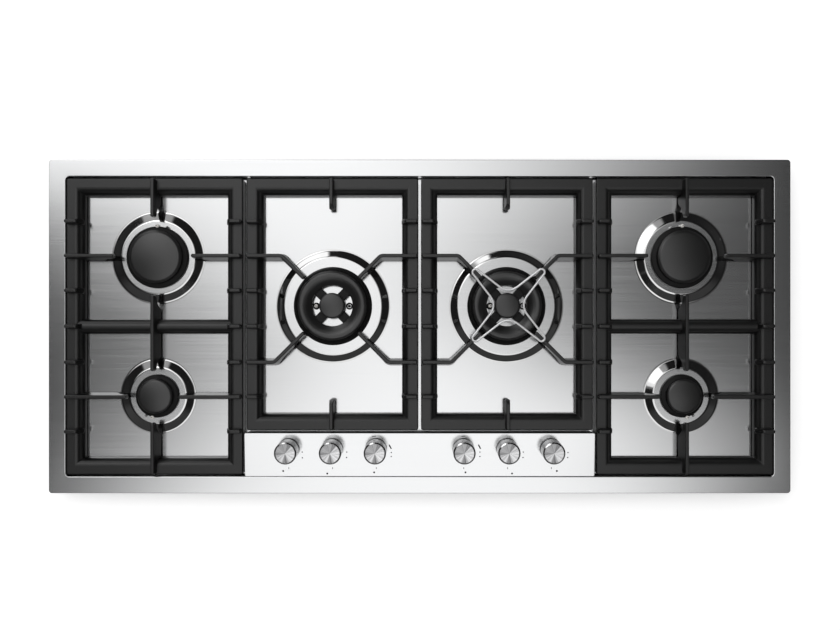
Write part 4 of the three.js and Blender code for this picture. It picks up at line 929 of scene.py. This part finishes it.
def bent_finger(start, way, burner):
    """A fin that runs in from the bar and bends towards its burner along the diagonal."""
    offset = burner.y - start[1]
    bend = (burner.x - way * abs(offset), start[1])
    arm = abs(offset) * math.sqrt(2) - burner.reach
    diagonal = np.array([way, math.copysign(1, offset)]) / math.sqrt(2)
    tip = np.array(bend) + diagonal * arm
    path = soften([start, bend, tuple(tip)], 3.5, 6)
    run = abs(bend[0] - start[0])
    total = float(np.linalg.norm(np.diff(path, axis=0), axis=1).sum())
    return blade(path, level(total),
                 [(0, FIN_FOOT), (17, FIN_FOOT), (18, FIN_DEEP), (run - 1, FIN_DEEP), (run + 4, 50),
                  (run + 12, FIN_RISE), (total, TIP_LOW)])


def crossbar(x, width):
    """A bar with a round crest that crosses between two burners."""
    bend = np.radians(np.linspace(0, 180, 15))
    half = 11.3
    section = [(half, BAR_LOW), (half, 52)]
    section += [(half * math.cos(b), 53 + 9 * math.sin(b)) for b in bend]
    section += [(-half, 52), (-half, BAR_LOW)]
    section = np.array(section)
    rows = [np.column_stack([np.full(len(section), end), section])
            for end in (x - width / 2 + 3, x + width / 2 - 3)]
    return closed_ends(rows)


def feet(width, depth, x, y):
    """Four low feet under the frame's corners."""
    parts = []
    for side_x, side_y in ((1, 1), (-1, 1), (-1, -1), (1, -1)):
        flat = outline(12, 12, 2, x + side_x * (width - BAR_WIDTH) / 2,
                       y + side_y * (depth - BAR_WIDTH) / 2, 4)
        parts.append(closed_ends([raised(flat, FLOOR + 0.3), raised(flat, BAR_LOW + 2)]))
    return parts


def outer_support(side, name, rear, front):
    """An outer support over a large burner behind and a small one in front."""
    rear, front = BURNERS[rear], BURNERS[front]
    width, depth, x = 275.1, 461.6, side * OUTER_X
    left, right = x - width / 2 + FIN_INSET, x + width / 2 - FIN_INSET
    parts = [support_frame(width, depth, x, 0), crossbar(x, width - BAR_WIDTH),
             *feet(width, depth, x, 0)]
    for row in range(-3, 4):
        burner = {2: rear, -2: front}.get(row)
        if burner is None:
            y = row * ROW_PITCH + SKEW * np.sign(row)
            parts += [stub((left, y), (1, 0)), stub((right, y), (-1, 0))]
        else:
            parts += [finger((left, burner.y), (1, 0), burner.x - burner.reach - left),
                      finger((right, burner.y), (-1, 0), right - burner.x - burner.reach)]
    back = depth / 2 - FIN_INSET
    parts.append(finger((rear.x, back), (0, -1), back - rear.y - rear.reach))
    parts.append(finger((front.x, -back), (0, 1), back + front.y - front.reach))
    high, low = rear.y - rear.reach, front.y + front.reach
    span = high - low
    parts.append(blade([(rear.x, low), (rear.x, high)], level(span),
                       [(0, TIP_LOW), (14, FIN_RISE), (23, FIN_DEEP), (span - 23, FIN_DEEP),
                        (span - 14, FIN_RISE), (span, TIP_LOW)]))
    piece(f"pan_support_cast_{name}", parts, f"support_{name}", IRON,
          [f"pan_support_{name}"])


def centre_support(side, name):
    """A centre support over a dual burner, with four fingers that bend in towards it."""
    burner = BURNERS[name]
    width, x = 267.9, side * 136.15
    back, front = 230.8, -161.8
    depth, y = back - front, (back + front) / 2
    left, right = x - width / 2 + FIN_INSET, x + width / 2 - FIN_INSET
    parts = [support_frame(width, depth, x, y), *feet(width, depth, x, y)]
    for row in range(-2, 4):
        row_y = row * ROW_PITCH + SKEW * np.sign(row)
        if row in (2, -1):
            parts += [bent_finger((left, row_y), 1, burner),
                      bent_finger((right, row_y), -1, burner)]
        else:
            parts += [stub((left, row_y), (1, 0)), stub((right, row_y), (-1, 0))]
    parts.append(stub((burner.x, back - FIN_INSET), (0, -1), 43))
    parts.append(stub((burner.x, front + FIN_INSET), (0, 1), 43))
    piece(f"pan_support_cast_{name}", parts, f"support_{name}", IRON,
          [f"pan_support_{name}"])


ARM = 71.8  # from the burner's axis to the middle of a hairpin end
HAIRPIN = 4.9  # half the gap between an arm's two wires
VALLEY = 17.6
WIRE = 1.6  # the wire's radius


def wire_trivet():
    """One endless round wire: four hairpin ends on the diagonals, and four rounded valleys."""
    x, y = BURNERS["centre_right"][:2]
    path = []
    bend = np.radians(np.linspace(-90, 90, 13))
    end = np.column_stack([ARM + HAIRPIN * np.cos(bend), HAIRPIN * np.sin(bend)])
    for lobe in range(4):
        turn = (lobe + 0.5) * math.pi / 2
        path.append(end @ spin(turn))
        valley = np.array([VALLEY, 0]) @ spin(turn + math.pi / 4)
        onward = end[0] @ spin(turn + math.pi / 2)
        path.append(soften([path[-1][-1], valley, onward], 19, 16)[1:-1])
    flat = np.concatenate(path) + [x, y]
    part = tube(raised(flat, FIN_TOP + 1.7), WIRE, 14, True)
    piece("wire_trivet_bent", [part], "trivet", CHROME, ["wire_trivet"])


pressed_top()
control_panel()
printed_marks()
for burner_name in BURNERS:
    knob(burner_name)
    electrodes(burner_name)
for burner_name in SINGLE:
    single_head(burner_name)
    single_cap(burner_name)
    single_cup(burner_name)
for burner_name in DUAL:
    dual_base(burner_name)
    dual_head(burner_name)
    ring_cap(burner_name)
    centre_cap(burner_name)
outer_support(-1, "left", "left_rear", "left_front")
outer_support(1, "right", "right_rear", "right_front")
centre_support(-1, "centre_left")
centre_support(1, "centre_right")
wire_trivet()

# ---- CAD pieces that keep their own solids ----

KEPT = {"bottom_tray": (ZINC, 0.4), "worktop_seal": (FOAM, 1.0), "gas_manifold": (BRASS, 0.8)}
for burner_name in BURNERS:
    KEPT[f"tap_body_{burner_name}"] = (BRASS, 0.6)
    KEPT[f"tap_plug_{burner_name}"] = (BRASS, 0.2)
    KEPT[f"tap_spindle_{burner_name}"] = (BRASS, 0.2)
for node, (finish, edge) in KEPT.items():
    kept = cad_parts[node]
    kept.data.materials.clear()
    kept.data.materials.append(finish)
    weld = kept.modifiers.new("weld", "WELD")
    weld.merge_threshold = 1e-6
    bevel = kept.modifiers.new("soft edges", "BEVEL")
    bevel.width = edge * 0.001
    bevel.segments = 2
    bevel.angle_limit = math.radians(SHARP_DEGREES)
    bevel.harden_normals = False

# ---- Camera, light and floor ----

camera = bpy.data.objects.new("camera", bpy.data.cameras.new("camera"))
bpy.context.scene.collection.objects.link(camera)
bpy.context.scene.camera = camera
camera.location = (0, -0.0289, 1.512)
camera.data.sensor_width = 36
camera.data.lens = 39.887
camera.data.shift_x = 0.0004
camera.data.shift_y = 0.0357
camera.data.clip_start = 0.01
camera.data.clip_end = 50


def studio_world():
    """Even pale light for everything, but what shines sees a darker room, given by a direction's
    slopes sideways and rearward. Its ceiling is a bright panel with soft edges, which shift with
    the other slope. Window panes and a lamp stand to the rear left, and low down is a pale wall."""
    world = bpy.data.worlds.new("studio")
    bpy.context.scene.world = world
    world.use_nodes = True
    tree = world.node_tree
    tree.nodes.clear()
    output = tree.nodes.new("ShaderNodeOutputWorld")

    calc = partial(sums, tree)

    def scaled(value, scale, start):
        """A value times a scale, plus a start."""
        return calc("MULTIPLY_ADD", value, scale, start)

    def clamped(value, low, high):
        """A value held between two bounds."""
        return calc("MINIMUM", calc("MAXIMUM", value, low), high)

    def step(value, low, high):
        """A smooth rise from nought at low to one at high."""
        return add(tree, "MapRange", {"Value": value, "From Min": low, "From Max": high},
                   interpolation_type="SMOOTHSTEP").outputs[0]

    axes = add(tree, "SeparateXYZ", {0: add(tree, "TexCoord").outputs["Generated"]}).outputs
    height = calc("MAXIMUM", axes["Z"], 0.05)
    across, along = (calc("DIVIDE", axes[axis], height) for axis in "XY")
    # left edge: -0.16, moving out by 1.25 of the rearward slope and 0.9 of the forward one
    left = scaled(clamped(along, 0.0, 0.15), -1.25, -0.16)
    left = scaled(calc("MINIMUM", along, 0.0), 0.9, left)
    left = scaled(step(along, 0.15, 0.19), -0.26, left)
    # right edge: 0.305 in front, 0.065 in the middle and 0.18 behind
    right = scaled(step(along, -0.12, 0.05), -0.24, 0.305)
    right = scaled(step(along, 0.07, 0.19), 0.115, right)
    softness = scaled(clamped(along, -0.2, 0.2), 0.2, 0.18)
    beyond = calc("DIVIDE", calc("SUBTRACT", across, right), softness)
    # front edge: -0.52, coming in to -0.2 towards both sides
    sideways = calc("MAXIMUM", calc("SUBTRACT", calc("ABSOLUTE", across), 0.19), 0.0)
    front = calc("MINIMUM", scaled(sideways, 2.4, -0.52), -0.2)
    panel = calc("MULTIPLY", step(calc("SUBTRACT", across, left), -0.165, 0.165),
                 step(beyond, 1.0, -1.0))
    panel = calc("MULTIPLY", panel, step(calc("SUBTRACT", along, front), -0.04, 0.04))
    panel = calc("MULTIPLY", panel, step(along, 0.4, 0.32))
    away = calc("SQRT", calc("MULTIPLY_ADD", across, across, calc("MULTIPLY", along, along)))

    def patch(left, right, front, rear, soft):
        """One between two sideways slopes and two rearward ones, nought outside."""
        wide = calc("MULTIPLY", step(across, left - soft, left + soft),
                    step(across, right + soft, right - soft))
        deep = calc("MULTIPLY", step(along, front - soft, front + soft),
                    step(along, rear + soft, rear - soft))
        return calc("MULTIPLY", wide, deep)

    window = calc("ADD", patch(-0.45, -0.2, 0.35, 0.8, 0.02), patch(-1.5, -0.3, 1.2, 2.8, 0.05))
    window = scaled(patch(-0.62, -0.49, 0.12, 0.38, 0.02), 0.35, window)
    window = scaled(patch(-0.86, -0.05, 0.5, 1.2, 0.04), 0.28, window)
    lamp = patch(-0.55, -0.05, 0.31, 0.52, 0.09)
    low = scaled(step(along, -0.3, -0.6), 0.04, 0.014)
    ceiling = scaled(step(away, 0.52, 0.36), calc("SUBTRACT", 0.078, low), low)
    walls = calc("MULTIPLY", step(axes["Z"], 0.6, 0.25), 0.1)
    walls = scaled(step(axes["Z"], 0.36, 0.16), 0.55, walls)
    room = calc("ADD", ceiling, walls)
    for shape, brightness in ((panel, 1.27), (window, 1.6), (lamp, 1.8)):
        room = scaled(shape, brightness, room)
    path = add(tree, "LightPath").outputs
    even = (0.62, 0.62, 0.62, 1)
    seen = add(tree, "Mix", {0: path["Is Glossy Ray"], "A": even, "B": room}, data_type="RGBA")
    white = add(tree, "Mix", {0: path["Is Camera Ray"], "A": seen.outputs["Result"],
                              "B": (1, 1, 1, 1)}, data_type="RGBA")
    shade = add(tree, "Background", {"Color": white.outputs["Result"], "Strength": 1.0})
    tree.links.new(shade.outputs[0], output.inputs[0])


studio_world()


def panel_light(name, place, target, size, watts):
    """A large square lamp aimed at a point, that isn't seen in what shines."""
    lamp = bpy.data.lights.new(name, "AREA")
    lamp.shape = "RECTANGLE"
    lamp.size, lamp.size_y = size
    lamp.energy = watts
    made = bpy.data.objects.new(name, lamp)
    bpy.context.scene.collection.objects.link(made)
    made.location = place
    made.rotation_euler = (Vector(target) - Vector(place)).to_track_quat("-Z", "Y").to_euler()
    made.visible_glossy = False


panel_light("key", (-0.5, 0.5, 2.4), (0, 0, 0), (1.6, 1.2), 22)

floor = bpy.data.meshes.new("floor")
reach = 6
corners = [(-reach, -reach, 0), (reach, -reach, 0), (reach, reach, 0), (-reach, reach, 0)]
floor.from_pydata(corners, [], [(0, 1, 2, 3)])
ground = bpy.data.objects.new("floor", floor)
bpy.context.scene.collection.objects.link(ground)
pale, tree, shader = new_material("Pale floor")
speckle = noise(tree, add(tree, "TexCoord").outputs["Object"], 40.0, 2.0)
glow = sums(tree, "MULTIPLY", add(tree, "LightPath").outputs["Is Camera Ray"], 0.36)
feed(tree, shader, {"Base Color": blend(tree, speckle, 0.86, 0.88), "Roughness": 0.9,
                    "Specular IOR Level": 0.1, "Emission Color": (1, 1, 1, 1),
                    "Emission Strength": glow})
floor.materials.append(pale)

bpy.context.scene.view_settings.view_transform = "Standard"
